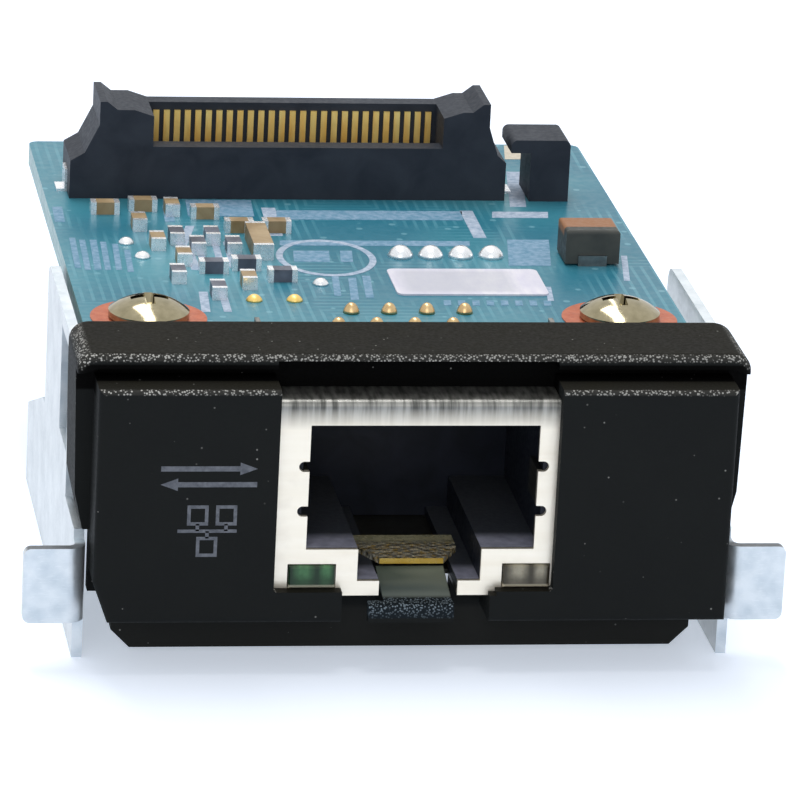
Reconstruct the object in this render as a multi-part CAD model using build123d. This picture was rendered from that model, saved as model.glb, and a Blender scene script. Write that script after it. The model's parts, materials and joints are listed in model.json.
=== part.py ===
from build123d import *
import math
import os

# The card lies with its board on top and the jack's latch side down.
# X is to the right seen from the face, +Y runs back from the face, +Z is up, lengths are in millimetres.
# The origin is the middle of the footprint on the surface that the card rests on.

# Whole card
card_depth = 44.4
face_height = 12.75
lip_drop = 2.4
lip_lift = 0.45
slip_fit = 0.05
cover_gap = 0.1
overrun = 1.0

# Board
board_width = 32.4
board_thickness = 1.2
board_rise = 0.47
board_corner_radius = 0.6
board_left_gap = 0.25
board_right_gap = 1.15
screw_spacing = 25.3
screw_row_y = 10.8
screw_hole_radius = 1.45

# Brackets, each folded from one gauge of sheet
sheet = 0.55
bend_radius = 0.35
wall_step_down = 0.17
wall_back_y = 21.3
wall_foot_y = 31.0
wall_foot_height = 4.6
wall_notch_height = 7.8
wall_corner_radius = 1.0
ear_front_y = 1.85
ear_reach = 2.7
ear_height = 4.1
ear_lift = 2.25
ear_corner_radius = 0.4
relief_length = 0.6
tab_width = 4.0
tab_bend_radius = 0.2
collar_radius = 1.9
collar_height = 0.9

# Bezel
face_wall = 0.7
face_depth = 3.0
frame_depth = 0.9
bezel_wall = 0.75
face_side_gap = 0.2
face_edge_radius = 0.35
corner_chamfer_width = 0.8
corner_chamfer_height = 2.2
hood_thickness = 0.75
hood_overhang = 1.2
hood_depth = 6.5
hood_edge_radius = 0.5
hood_side_radius = 0.9
hood_rear_radius = 1.1
cheek_stand = 0.2
cheek_height = 9.9
cheek_taper = 0.14
cheek_slant_width = 0.6
cheek_slant_height = 2.0
lip_inset = 1.3
lip_slant = 1.0
wing_drop = 0.35

# Jack shell, plug opening and window
jack_x = 0.4
jack_width = 16.0
jack_height = 10.7
jack_depth = 23.6
shell_sheet = 0.25
shell_bend_radius = 0.4
shell_flange = 3.4
port_width = 12.0
port_height = 6.8
port_top_gap = 1.35
port_depth = 11.6
step_width = 6.5
step_depth = 1.75
slot_width = 4.15
notch_reach = 0.55
notch_radius = 0.28
notch_upper_drop = 2.25
notch_lower_drop = 4.7
finger_length = 2.6
leg_width = 1.3
leg_y = 9.2
leg_stand = 0.35
window_width = 14.7
window_shift = 0.35
window_sill = 0.45
foot_window_width = 8.1
foot_window_sill = 0.23
window_corner_radius = 0.2

# Finger relief and tongue under the plug opening
relief_width = 7.8
relief_shift = 0.2
tongue_width = 4.5
tongue_shift = 0.2
tongue_height = 1.0
tongue_rise = 0.75
tongue_neck_width = 3.6
tongue_nose_radius = 0.3

# Inside of the jack
lens_width = 2.45
lens_height = 1.22
lens_length = 4.0
lens_offset = 5.65
lens_stand = 0.2
lens_edge_radius = 0.15
lens_seat_share = 0.36
film_width = 5.3
film_nose_width = 3.4
film_length = 3.6
film_thickness = 0.3
film_setback = 2.6
contact_count = 8
contact_pitch = 1.02
contact_width = 0.4
contact_thickness = 0.22
contact_front_y = 4.4
contact_drop = 2.2
contact_run = 6.0
contact_bow = 0.35
comb_depth = 0.9
comb_margin = 0.35
comb_groove = 0.62
pin_width = 0.45
pin_stand = 0.45
pin_clearance = 0.08
signal_pin_y = 11.8
signal_row_gap = 2.54
light_pin_back_gap = 2.35
light_pin_x = 4.5
light_pin_count = 4
light_pin_pitch = 1.68
signal_solder_radius = 0.45
light_solder_radius = 0.72
solder_height = 0.38
solder_sides = 8
solder_top_share = 0.55

# Screws and the copper rings under them
screw_radius = 1.25
screw_length = 4.2
head_radius = 2.15
head_height = 1.2
head_rim = 0.4
head_bevel = 0.85
head_crown_radius = 0.75
recess_length = 2.4
recess_width = 0.5
recess_depth = 0.65
ring_radius = 3.1
ring_thickness = 0.05

# Board connector
connector_x = -2.9
connector_length = 24.85
connector_front_y = 32.8
connector_depth = 4.2
connector_base = 1.7
connector_wall = 1.15
front_wall_height = 3.05
back_wall_height = 4.82
tower_height = 5.18
left_tower_width = 3.05
right_tower_width = 2.65
left_shoulder = 1.6
right_shoulder = 1.05
shoulder_height = 2.2
shoulder_slope_height = 4.3
horn_width = 1.0
horn_tip = 0.4
horn_height = 0.47
tower_slope = 1.1
blade_pitch = 0.6
blade_width = 0.34
blade_thickness = 0.14
blade_tip_gap = 0.45
blade_end_gap = 0.1
tail_length = 0.7
tail_thickness = 0.12
hold_down_width = 1.4
hold_down_height = 1.3
hold_down_foot = 0.6
hold_down_sheet = 0.15

# Hook post beside the connector
hook_x = 12.05
hook_width = 2.25
hook_front_y = 32.7
hook_depth = 3.4
hook_height = 3.6
hook_arm_reach = 1.15
hook_arm_height = 0.75
hook_edge_radius = 0.35

# Block capacitor
block_x = 12.4
block_y = 21.7
block_width = 3.0
block_length = 2.9
block_height = 2.0
block_edge_radius = 0.2
block_lead_width = 1.6
block_lead_height = 0.6
block_lead_sheet = 0.12

# Small parts on the upper side
test_pad_radius = 0.45
test_pad_height = 0.2
test_pad_sides = 8
sticker_x = 4.95
sticker_gap = 1.88
sticker_width = 8.3
sticker_length = 4.6
sticker_thickness = 0.1
sticker_corner_radius = 0.4
diode_length = 4.4
diode_width = 1.1
diode_height = 0.9
chip_length = 1.6
chip_width = 0.8
chip_height = 0.7
chip_end = 0.3
chip_gap = 0.5

# Small parts on the under side
controller_x = -2.5
controller_y = 33.0
controller_size = 9.0
controller_height = 0.9
controller_lead_count = 11
controller_lead_pitch = 0.65
controller_lead_width = 0.3
controller_lead_length = 0.45
controller_lead_height = 0.2
crystal_x = -11.0
crystal_y = 33.5
crystal_length = 3.2
crystal_width = 2.5
crystal_height = 0.8
crystal_base_height = 0.3
crystal_rim = 0.2
memory_x = 9.2
memory_gap = 1.0
memory_length = 5.0
memory_width = 4.0
memory_height = 1.6
memory_lead_count = 4
memory_lead_pitch = 1.27
memory_lead_width = 0.42
memory_lead_reach = 1.0
memory_lead_sheet = 0.2
coil_x = 9.2
coil_row_y = 29.0
coil_count = 2
coil_spacing = 4.4
coil_size = 3.2
coil_height = 1.6
coil_corner = 0.5

# Places on the upper side: a share of the screws' spacing from the board's middle and a share of the
# distance from the face to the connector. A chip's third entry says whether it lies across the card.
upper_capacitor_shares = [
    (-0.519, 0.916, True), (-0.433, 0.934, True), (-0.455, 0.829, False), (-0.429, 0.719, False),
    (-0.384, 0.632, False), (-0.237, 0.811, True), (-0.154, 0.811, True), (-0.371, 0.916, False),
    (-0.301, 0.891, True), (-0.263, 0.503, False),
]
upper_resistor_shares = [
    (-0.384, 0.749, False), (-0.345, 0.693, False), (-0.306, 0.749, False), (-0.267, 0.693, False),
    (-0.327, 0.579, True), (-0.254, 0.595, True), (-0.410, 0.534, False), (-0.336, 0.448, False),
    (-0.186, 0.534, True),
]
test_pad_shares = [
    (-0.494, 0.739), (-0.469, 0.659), (-0.263, 0.423), (-0.177, 0.423), (-0.106, 0.513),
]
diode_shares = (-0.208, 0.711)

# Chips round the controller: which side of it they stand on, across and along the card, and how far
# along that side they are, as a share of the controller's size.
side_capacitor_shares = [(-1, 0, -0.36), (-1, 0, 0.0), (1, 0, -0.36), (1, 0, 0.36), (0, 1, 0.0)]
side_resistor_shares = [(-1, 0, 0.36), (1, 0, 0.0), (0, 1, -0.3), (0, 1, 0.3)]

# Heights that follow from the sizes above
face_bottom = lip_lift + lip_drop
face_top = face_bottom + face_height
board_top = face_top + board_rise
board_bottom = board_top - board_thickness
hood_bottom = board_top + cover_gap
hood_top = hood_bottom + hood_thickness
wing_tip = hood_bottom - wing_drop
cheek_bottom = hood_top - cheek_height
cheek_hips = cheek_bottom + cheek_slant_height
wall_top = board_top - wall_step_down
ear_bottom = ear_lift
ear_top = ear_bottom + ear_height
shell_top = board_bottom - slip_fit
shell_bottom = shell_top - jack_height
port_top = shell_top - port_top_gap
port_bottom = port_top - port_height
step_bottom = port_bottom - step_depth
lens_bottom = shell_bottom + lens_seat_share * (port_bottom - shell_bottom - lens_height)
pin_bottom = port_top + comb_depth + slip_fit

# Places across the card
wall_inner = (board_left_gap + board_width + board_right_gap) / 2
wall_outer = wall_inner + sheet
hood_half = wall_outer + cheek_stand
cheek_inner = wall_inner - cover_gap
face_half = wall_inner - face_side_gap
lip_half = face_half - lip_inset
board_x = board_left_gap + board_width / 2 - wall_inner
relief_x = jack_x - relief_shift
nose_x = relief_x - tongue_shift
window_left = jack_x - window_shift - window_width / 2

# Places along the card, from the front of the face back
front = -card_depth / 2
frame_front = front + face_depth
frame_back = frame_front + frame_depth
board_front = frame_back + slip_fit
board_back = front + card_depth
board_length = board_back - board_front
hood_front = frame_front - hood_overhang
hood_back = hood_front + hood_depth
bend_y = front + ear_front_y + sheet + bend_radius
screw_y = front + screw_row_y
shell_front = front + face_wall + slip_fit
shell_back = shell_front + jack_depth
light_row = shell_back - light_pin_back_gap
sticker_y = light_row - light_solder_radius - sticker_gap - sticker_length / 2
coil_y = front + coil_row_y
memory_y = coil_y + (coil_spacing + coil_size + memory_length) / 2 + memory_gap
plate_back = shell_front + shell_sheet
flange_back = shell_front + shell_flange
cavity_back = shell_front + port_depth
connector_front = front + connector_front_y
connector_back = connector_front + connector_depth
connector_left = connector_x - connector_length / 2
connector_right = connector_x + connector_length / 2
slot_left = connector_left + left_shoulder + left_tower_width
slot_right = connector_right - right_shoulder - right_tower_width
blade_count = int((slot_right - slot_left - 2 * blade_end_gap) / blade_pitch)


def box(x0, x1, y0, y1, z0, z1):
    """A block between three pairs of limits."""
    middle = Pos((x0 + x1) / 2, (y0 + y1) / 2, (z0 + z1) / 2)
    return middle * Box(x1 - x0, y1 - y0, z1 - z0)


def carried_across(points, x0, x1):
    """A side outline of (y, z) points, carried across the card from x0 to x1."""
    outline = make_face(Polyline(*[(x0, y, z) for y, z in points], close=True))
    return extrude(outline, amount=x1 - x0, dir=(1, 0, 0))


def carried_back(points, y0, y1):
    """A front outline of (x, z) points, carried back from y0 to y1."""
    outline = make_face(Polyline(*[(x, y0, z) for x, z in points], close=True))
    return extrude(outline, amount=y1 - y0, dir=(0, 1, 0))


def carried_up(points, z0, z1):
    """A plan outline of (x, y) points, carried up from z0 to z1."""
    outline = make_face(Polyline(*[(x, y, z0) for x, y in points], close=True))
    return extrude(outline, amount=z1 - z0, dir=(0, 0, 1))


def upright(x, y, z0, z1, radius):
    """An upright round bar."""
    return Pos(x, y, (z0 + z1) / 2) * Cylinder(radius, z1 - z0)


def evenly(count, pitch, middle):
    """Evenly spaced places about a middle."""
    return [middle + (index - (count - 1) / 2) * pitch for index in range(count)]


def other_side(shape):
    """The same shape on the other side of the card's middle plane."""
    return mirror(shape, about=Plane.YZ)


def both_sides(points):
    """An outline's right half, met by the same points on the left."""
    return points + [(-x, z) for x, z in reversed(points)]


def strip_outline(path, thickness):
    """The outline of a bent strip that lies on the left of its path, with mitred corners."""
    spots = [Vector(*point) for point in path]
    headings = [(b - a).normalized() for a, b in zip(spots, spots[1:])]
    sides = [Vector(-heading.Y, heading.X) for heading in headings]
    edge = [spots[0] + sides[0] * thickness]
    for spot, before, after in zip(spots[1:-1], sides, sides[1:]):
        mitre = (before + after).normalized()
        edge.append(spot + mitre * (thickness / mitre.dot(before)))
    edge.append(spots[-1] + sides[-1] * thickness)
    return [(spot.X, spot.Y) for spot in spots + edge[::-1]]


def upper_place(x_share, y_share):
    """A place on the board's upper side, between the screws and short of the connector."""
    return board_x + x_share * screw_spacing, front + y_share * connector_front_y


def controller_place(side_x, side_y, share):
    """A chip's place and heading beside the controller, one gap clear of its leads."""
    reach = controller_size / 2 + controller_lead_length + chip_gap + chip_width / 2
    along = share * controller_size
    x = controller_x + (along if side_y else side_x * reach)
    y = front + controller_y + (side_y * reach if side_y else along)
    return x, y, bool(side_y)


def crystal_capacitor_places():
    """The crystal's two load capacitors, across the card at its front and back."""
    spacing = crystal_width + 2 * chip_gap + chip_width
    return [(crystal_x, y, True) for y in evenly(2, spacing, front + crystal_y)]


def crystal_resistor_places():
    """Two resistors in line beside the crystal's outer end."""
    x = crystal_x - crystal_length / 2 - chip_gap - chip_width / 2
    return [(x, y, False) for y in evenly(2, chip_length + chip_gap, front + crystal_y)]


def coil_capacitor_places():
    """A capacitor on the inner side of each coil."""
    x = coil_x - coil_size / 2 - chip_gap - chip_width / 2
    return [(x, y, False) for y in evenly(coil_count, coil_spacing, coil_y)]


screw_places = evenly(2, screw_spacing, board_x)
signal_places = evenly(contact_count, contact_pitch, jack_x)
light_places = evenly(light_pin_count, light_pin_pitch, light_pin_x)
leg_places = evenly(2, jack_width - shell_sheet, jack_x)
lens_places = evenly(2, 2 * lens_offset, jack_x)
diode_x, diode_y = upper_place(*diode_shares)
blade_places = evenly(blade_count, blade_pitch, (slot_left + slot_right) / 2)


def bezel_block():
    """The rounded front block with its chamfered lower left corner."""
    outline = [
        (-face_half + corner_chamfer_width, face_bottom),
        (face_half, face_bottom),
        (face_half, face_top),
        (-face_half, face_top),
        (-face_half, face_bottom + corner_chamfer_height),
    ]
    block = carried_back(outline, front, frame_back)
    rim = block.faces().sort_by(Axis.Y)[0].edges()
    return fillet(rim, face_edge_radius)


def bezel_frame():
    """The plate behind the block, which spreads to the cheeks and drops to the lower lip."""
    right = [
        (lip_half - lip_slant, lip_lift),
        (lip_half, lip_lift + lip_slant),
        (lip_half, face_bottom + bezel_wall),
        (face_half, face_bottom + bezel_wall),
        (face_half, cheek_bottom),
        (hood_half - cheek_slant_width, cheek_bottom),
        (hood_half - cheek_slant_width, hood_bottom),
    ]
    return carried_back(both_sides(right), frame_front, frame_back)


def hood_block():
    """The outer form of hood and cheeks, with its crown rounded all round and least at the front."""
    right = [
        (hood_half - cheek_slant_width, cheek_bottom),
        (hood_half - cheek_taper, cheek_hips),
        (hood_half, wing_tip),
        (hood_half, hood_top),
    ]
    block = carried_back(both_sides(right), hood_front, hood_back)
    plan = Rectangle(2 * hood_half, hood_depth)
    plan = fillet(plan.vertices().group_by(Axis.Y)[-1], hood_rear_radius)
    block &= Pos(0, (hood_front + hood_back) / 2, 0) * extrude(plan, hood_top)
    crest = block.faces().sort_by(Axis.Z)[-1].edges().sort_by(Axis.Y)
    block = fillet(crest[1:], hood_side_radius)
    brow = block.faces().sort_by(Axis.Y)[0].edges().filter_by(lambda edge: edge.center().Z > hood_bottom)
    return fillet(brow, hood_edge_radius)


def bezel_hood():
    """The hood over the board's front edge, with a cheek down each side and drooping front tips."""
    eave = [
        (hood_half + overrun, cheek_bottom - overrun),
        (hood_half + overrun, wing_tip),
        (hood_half, wing_tip),
        (face_half, hood_bottom),
    ]
    front_room = carried_back(both_sides(eave), hood_front - overrun, frame_front)
    back_room = box(
        -cheek_inner, cheek_inner, frame_front, hood_back + overrun, cheek_bottom - overrun, hood_bottom,
    )
    return hood_block() - front_room - back_room


def bezel_window():
    """What the window removes before and above the jack's shell, up through the block's top edge."""
    left = window_left
    right = window_left + window_width
    pane = box(
        left, right, front - overrun, shell_front + overrun,
        shell_bottom + window_sill, face_top + overrun,
    )
    sill_corners = pane.edges().filter_by(Axis.Y).group_by(Axis.Z)[0]
    pane = fillet(sill_corners, window_corner_radius)
    head = box(left, right, front - overrun, frame_front, shell_top, face_top + overrun)
    foot = box(
        jack_x - foot_window_width / 2, jack_x + foot_window_width / 2,
        front - overrun, shell_front + overrun, shell_bottom + foot_window_sill, port_bottom,
    )
    return pane + head + foot


def bezel_relief():
    """What the finger relief removes below the window, down through the block."""
    return box(
        relief_x - relief_width / 2, relief_x + relief_width / 2,
        front - overrun, frame_front, -overrun, shell_bottom + window_sill,
    )


def tongue_slot():
    """The upright slot between the shell's feet that the tongue's neck passes through."""
    return box(
        jack_x - slot_width / 2, jack_x + slot_width / 2,
        front - overrun, frame_back + cover_gap, face_bottom + bezel_wall, port_bottom,
    )


def bezel_tongue():
    """The finger ramp under the plug opening: a broad rounded nose and a narrower rising neck."""
    low = face_bottom
    nose_back = shell_front - slip_fit
    nose_front = front + slip_fit
    nose = box(
        nose_x - tongue_width / 2, nose_x + tongue_width / 2,
        nose_front, nose_back, low, low + tongue_height,
    )
    lead = nose.edges().filter_by(Axis.X).group_by(Axis.Y)[0].sort_by(Axis.Z)[-1]
    nose = fillet(lead, tongue_nose_radius)
    ramp = [
        (nose_back, low),
        (frame_back, low),
        (frame_back, low + tongue_height + tongue_rise),
        (nose_back, low + tongue_height),
    ]
    neck = carried_across(ramp, jack_x - tongue_neck_width / 2, jack_x + tongue_neck_width / 2)
    return nose + neck


def bezel():
    """The moulded front piece: face block, frame, lip, hood, cheeks, jack's seat, window and tongue."""
    hollow = box(
        -face_half + bezel_wall, face_half - bezel_wall,
        front + face_wall, frame_back + overrun, face_bottom + bezel_wall, board_bottom,
    )
    hollow -= box(
        jack_x - jack_width / 2, jack_x + jack_width / 2, front, frame_back + overrun,
        lip_lift, shell_bottom - slip_fit,
    )
    jack_room = box(
        jack_x - jack_width / 2 - slip_fit, jack_x + jack_width / 2 + slip_fit,
        shell_front - slip_fit, frame_back + overrun, shell_bottom - slip_fit, shell_top + slip_fit,
    )
    body = bezel_block() + bezel_frame() + bezel_hood()
    body = body - hollow - jack_room - bezel_window() - bezel_relief() - tongue_slot()
    return body + bezel_tongue()


def bracket_wall():
    """The upright side wall with its notch under the cheek and its lower foot at the back."""
    shelf = cheek_bottom - cover_gap
    outline = [
        (bend_y, 0),
        (front + wall_foot_y, 0),
        (front + wall_foot_y, wall_foot_height),
        (front + wall_back_y + wall_corner_radius, wall_notch_height),
        (front + wall_back_y, wall_notch_height),
        (front + wall_back_y, wall_top),
        (hood_back + cover_gap, wall_top),
        (hood_back + cover_gap, shelf),
        (bend_y + relief_length, shelf),
        (bend_y + relief_length, ear_top),
        (bend_y, ear_top),
    ]
    wall = carried_across(outline, wall_inner, wall_outer)
    top_back = wall.edges().filter_by(Axis.X).group_by(Axis.Z)[-1].sort_by(Axis.Y)[-1]
    return fillet(top_back, wall_corner_radius)


def bracket_ear():
    """The ear, bent outward from the wall's front edge, with rounded outer corners."""
    turn_x = wall_outer + bend_radius
    bend = Pos(turn_x, bend_y, (ear_bottom + ear_top) / 2) * (
        Cylinder(bend_radius + sheet, ear_height) - Cylinder(bend_radius, ear_height + overrun)
    )
    quarter = box(wall_inner, turn_x, bend_y - bend_radius - sheet, bend_y, ear_bottom, ear_top)
    flat = box(
        turn_x, wall_outer + ear_reach,
        bend_y - bend_radius - sheet, bend_y - bend_radius, ear_bottom, ear_top,
    )
    corners = flat.edges().filter_by(Axis.Y).group_by(Axis.X)[-1]
    return (bend & quarter) + fillet(corners, ear_corner_radius)


def tab_window(screw_x):
    """The gap that the lanced tab leaves in the wall, as tall as the tab is long."""
    length = wall_inner - screw_x + tab_width / 2
    return box(
        wall_inner - overrun, wall_outer + overrun,
        screw_y - tab_width / 2 - slip_fit, screw_y + tab_width / 2 + slip_fit,
        board_bottom + tab_bend_radius - length, board_bottom + tab_bend_radius,
    )


def bracket_tab(screw_x):
    """The tab bent inward under the board, with a round end and a drawn collar for the screw."""
    turn_x = wall_inner - tab_bend_radius
    turn_z = board_bottom + tab_bend_radius
    radius = tab_bend_radius + sheet
    bend = Pos(turn_x, screw_y, turn_z) * Rot(90, 0, 0) * (
        Cylinder(radius, tab_width) - Cylinder(tab_bend_radius, tab_width + overrun)
    )
    quarter = box(
        turn_x, wall_outer, screw_y - tab_width / 2, screw_y + tab_width / 2, turn_z - radius, turn_z,
    )
    flat = box(
        screw_x, turn_x, screw_y - tab_width / 2, screw_y + tab_width / 2,
        board_bottom - sheet, board_bottom,
    )
    round_end = upright(screw_x, screw_y, board_bottom - sheet, board_bottom, tab_width / 2)
    collar = upright(
        screw_x, screw_y, board_bottom - sheet - collar_height, board_bottom - sheet, collar_radius,
    )
    bore = upright(
        screw_x, screw_y, board_bottom - sheet - collar_height - overrun, board_bottom + overrun,
        screw_radius + slip_fit,
    )
    return (bend & quarter) + flat + round_end + collar - bore


def bracket(screw_x):
    """A right-hand bracket whose tab reaches to a screw at screw_x."""
    wall = bracket_wall() - tab_window(screw_x)
    return wall + bracket_ear() + bracket_tab(screw_x)


def board_plate():
    """The bare board with its screw holes, pin holes and slots for the shell's legs."""
    plan = Rectangle(board_width, board_length)
    plan = fillet(plan.vertices(), board_corner_radius)
    plate = Pos(board_x, (board_front + board_back) / 2, board_bottom) * extrude(plan, board_thickness)
    low = board_bottom - overrun
    high = board_top + overrun
    holes = [upright(x, screw_y, low, high, screw_hole_radius) for x in screw_places]
    pin_hole_radius = pin_width * math.sqrt(1 / 2) + pin_clearance
    holes += [upright(x, y, low, high, pin_hole_radius) for x, y in pin_places()]
    for x in leg_places:
        holes.append(box(
            x - shell_sheet / 2 - cover_gap, x + shell_sheet / 2 + cover_gap,
            front + leg_y - leg_width / 2 - cover_gap, front + leg_y + leg_width / 2 + cover_gap,
            low, high,
        ))
    return plate - holes


def pin_places():
    """Where the jack's pins come up: two staggered signal rows and one row for the lights."""
    back_row = [(x, front + signal_pin_y) for x in signal_places[1::2]]
    front_row = [(x, front + signal_pin_y - signal_row_gap) for x in signal_places[::2]]
    lights = [(x, light_row) for x in light_places]
    return front_row + back_row + lights


def pin_block(x, y, z0, z1, grow):
    """A square pin's stretch between two heights, widened by grow."""
    half = pin_width / 2 + grow
    return box(x - half, x + half, y - half, y + half, z0, z1)


def port_outline(side_grow):
    """The stepped plug opening, open at its foot, with its main sides moved out by side_grow."""
    half = port_width / 2
    right = [
        (slot_width / 2, shell_bottom - overrun),
        (slot_width / 2, step_bottom),
        (step_width / 2, step_bottom),
        (step_width / 2, port_bottom),
        (half + side_grow, port_bottom),
        (half + side_grow, port_top),
    ]
    return [(jack_x + x, z) for x, z in both_sides(right)]


def side_notches():
    """The four round-ended notches that free the ground fingers at the opening's sides."""
    reach = port_width / 2 + notch_reach - notch_radius
    cuts = []
    for drop in (notch_upper_drop, notch_lower_drop):
        z = port_top - drop
        cuts.append(box(
            jack_x - reach, jack_x + reach, shell_front - overrun, plate_back,
            z - notch_radius, z + notch_radius,
        ))
        for x in (jack_x - reach, jack_x + reach):
            cuts.append(Pos(x, shell_front, z) * Rot(90, 0, 0) * Cylinder(notch_radius, 2 * overrun))
    return cuts


def ground_fingers():
    """The folded-in fingers between the notches, one on each side of the opening."""
    low = port_top - notch_lower_drop + notch_radius
    high = port_top - notch_upper_drop - notch_radius
    inner = port_width / 2
    right = box(
        jack_x + inner, jack_x + inner + shell_sheet,
        shell_front, shell_front + finger_length, low, high,
    )
    left = box(
        jack_x - inner - shell_sheet, jack_x - inner,
        shell_front, shell_front + finger_length, low, high,
    )
    return right + left


def lens_room(grow):
    """The two places that the status lenses take, widened by grow."""
    rooms = []
    for x in lens_places:
        rooms.append(box(
            x - lens_width / 2 - grow, x + lens_width / 2 + grow,
            shell_front - lens_stand - grow, shell_front + lens_length + grow,
            lens_bottom - grow, lens_bottom + lens_height + grow,
        ))
    return rooms


def front_top_edge(block):
    """The edge across the front of a block's top."""
    return block.edges().filter_by(Axis.X).group_by(Axis.Z)[-1].sort_by(Axis.Y)[0]


def jack_shell():
    """The shield can: a stepped and notched face folded back at its top, sides, back and board legs."""
    left = jack_x - jack_width / 2
    right = jack_x + jack_width / 2
    can = box(left, right, shell_front, shell_back, shell_bottom, shell_top)
    can = fillet(front_top_edge(can), shell_bend_radius)
    inside = box(
        left + shell_sheet, right - shell_sheet, plate_back, shell_back - shell_sheet,
        shell_bottom + shell_sheet, shell_top - shell_sheet,
    )
    inside = fillet(front_top_edge(inside), shell_bend_radius - shell_sheet)
    inside += box(
        left + shell_sheet, right - shell_sheet, flange_back, shell_back - shell_sheet,
        shell_bottom + shell_sheet, shell_top + overrun,
    )
    opening = carried_back(port_outline(0), shell_front - overrun, plate_back)
    opening -= box(left, right, shell_front - overrun, plate_back, -overrun, shell_bottom)
    can = can - inside - opening - side_notches() - lens_room(slip_fit) - tongue_slot()
    legs = [
        box(
            x - shell_sheet / 2, x + shell_sheet / 2,
            front + leg_y - leg_width / 2, front + leg_y + leg_width / 2,
            shell_top - leg_width, board_top + leg_stand,
        )
        for x in leg_places
    ]
    return can + legs + ground_fingers()


def comb_limits(grow):
    """The limits of the contact comb in the cavity's ceiling, widened by grow."""
    half = contact_count * contact_pitch / 2 + comb_margin + grow
    return (
        jack_x - half, jack_x + half,
        front + contact_front_y - grow, cavity_back, port_top, port_top + comb_depth + grow,
    )


def jack_housing():
    """The moulded insert with the stepped plug cavity and rooms for lenses, comb, fingers and pins."""
    gap = shell_sheet + slip_fit
    insert = box(
        jack_x - jack_width / 2 + gap, jack_x + jack_width / 2 - gap,
        plate_back + slip_fit, shell_back - gap, shell_bottom + gap, shell_top,
    )
    insert -= box(
        jack_x - jack_width / 2, jack_x + jack_width / 2, shell_front, flange_back + slip_fit,
        shell_top - gap, shell_top + overrun,
    )
    cavity = carried_back(port_outline(gap), shell_front, cavity_back)
    bores = [pin_block(x, y, pin_bottom, board_bottom, slip_fit) for x, y in pin_places()]
    return insert - cavity - box(*comb_limits(slip_fit)) - lens_room(slip_fit) - tongue_slot() - bores


def contact_comb():
    """The grooved comb that the contacts lie in."""
    comb = box(*comb_limits(0))
    groove_half = contact_width / 2 + slip_fit
    for x in signal_places:
        comb -= box(
            x - groove_half, x + groove_half, front + contact_front_y - overrun, cavity_back + overrun,
            port_top - overrun, port_top + comb_groove,
        )
    return comb


def jack_contacts():
    """Eight sprung contacts, each looped at the front and sloping down towards the back."""
    back = cavity_back - cover_gap
    nose = front + contact_front_y + contact_thickness * math.sqrt(2)
    path = [
        (back, port_top + contact_bow),
        (nose + contact_bow, port_top + contact_bow),
        (nose, port_top),
        (nose + contact_bow, port_top - contact_bow),
        (nose + contact_run, port_top - contact_drop),
    ]
    outline = strip_outline(path[::-1], contact_thickness)
    return [carried_across(outline, x - contact_width / 2, x + contact_width / 2) for x in signal_places]


def jack_pins():
    """The square pins that carry the jack's signals and lights up through the board."""
    high = board_top + pin_stand
    return [pin_block(x, y, pin_bottom, high, 0) for x, y in pin_places()]


def solder_joints():
    """A tapered collar of solder round each pin on the board's upper side."""
    joints = []
    for x, y in pin_places():
        large = y > front + signal_pin_y
        radius = light_solder_radius if large else signal_solder_radius
        slope = math.degrees(math.atan2(radius * (1 - solder_top_share), solder_height))
        foot = RegularPolygon(radius, solder_sides)
        collar = Pos(x, y, board_top) * extrude(foot, solder_height, taper=slope)
        joints.append(collar - pin_block(x, y, board_top, board_top + solder_height, 0))
    return joints


def status_lens(index):
    """One clear light lens with a softened front edge."""
    lens = lens_room(0)[index]
    rim = lens.faces().sort_by(Axis.Y)[0].edges()
    return fillet(rim, lens_edge_radius)


def latch_film():
    """The stiff film on the cavity's lower step, narrowed to a nose at its front."""
    start = shell_front + film_setback
    plan = [
        (jack_x - film_nose_width / 2, start),
        (jack_x + film_nose_width / 2, start),
        (jack_x + film_width / 2, start + film_length / 2),
        (jack_x + film_width / 2, start + film_length),
        (jack_x - film_width / 2, start + film_length),
        (jack_x - film_width / 2, start + film_length / 2),
    ]
    return carried_up(plan, step_bottom, step_bottom + film_thickness)


def screw(x):
    """A pan-head screw: a head in three slopes with a cross recess over a plain shank."""
    seat = board_top + ring_thickness
    crown = seat + head_height
    outline = [
        (0, seat - screw_length),
        (screw_radius, seat - screw_length),
        (screw_radius, seat),
        (head_radius, seat),
        (head_radius, seat + head_rim),
        ((head_radius + head_crown_radius) / 2, seat + head_bevel),
        (head_crown_radius, crown),
        (0, crown),
    ]
    solid = revolve(Plane.XZ * make_face(Polyline(*outline, close=True)), Axis.Z)
    bars = [
        Pos(0, 0, crown) * Box(recess_length, recess_width, 2 * recess_depth),
        Pos(0, 0, crown) * Box(recess_width, recess_length, 2 * recess_depth),
    ]
    return Pos(x, screw_y, 0) * (solid - bars)


def screw_ring(x):
    """The bare copper ring on the board under a screw head."""
    disc = upright(x, screw_y, board_top, board_top + ring_thickness, ring_radius)
    return disc - upright(x, screw_y, board_top - overrun, board_top + overrun, screw_hole_radius)


def connector_end(shoulder, tower_width):
    """A left-hand end tower with its shoulder, sloped flank and horn, from x = 0 to the right."""
    outline = [
        (0, 0),
        (0, shoulder_height),
        (shoulder / 2, shoulder_height + horn_height),
        (shoulder, shoulder_slope_height),
        (shoulder, tower_height + horn_height),
        (shoulder + horn_tip, tower_height + horn_height),
        (shoulder + horn_width, tower_height),
        (shoulder + tower_width - tower_slope, tower_height),
        (shoulder + tower_width, back_wall_height),
        (shoulder + tower_width, 0),
    ]
    return carried_back(outline, connector_front, connector_back)


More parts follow.
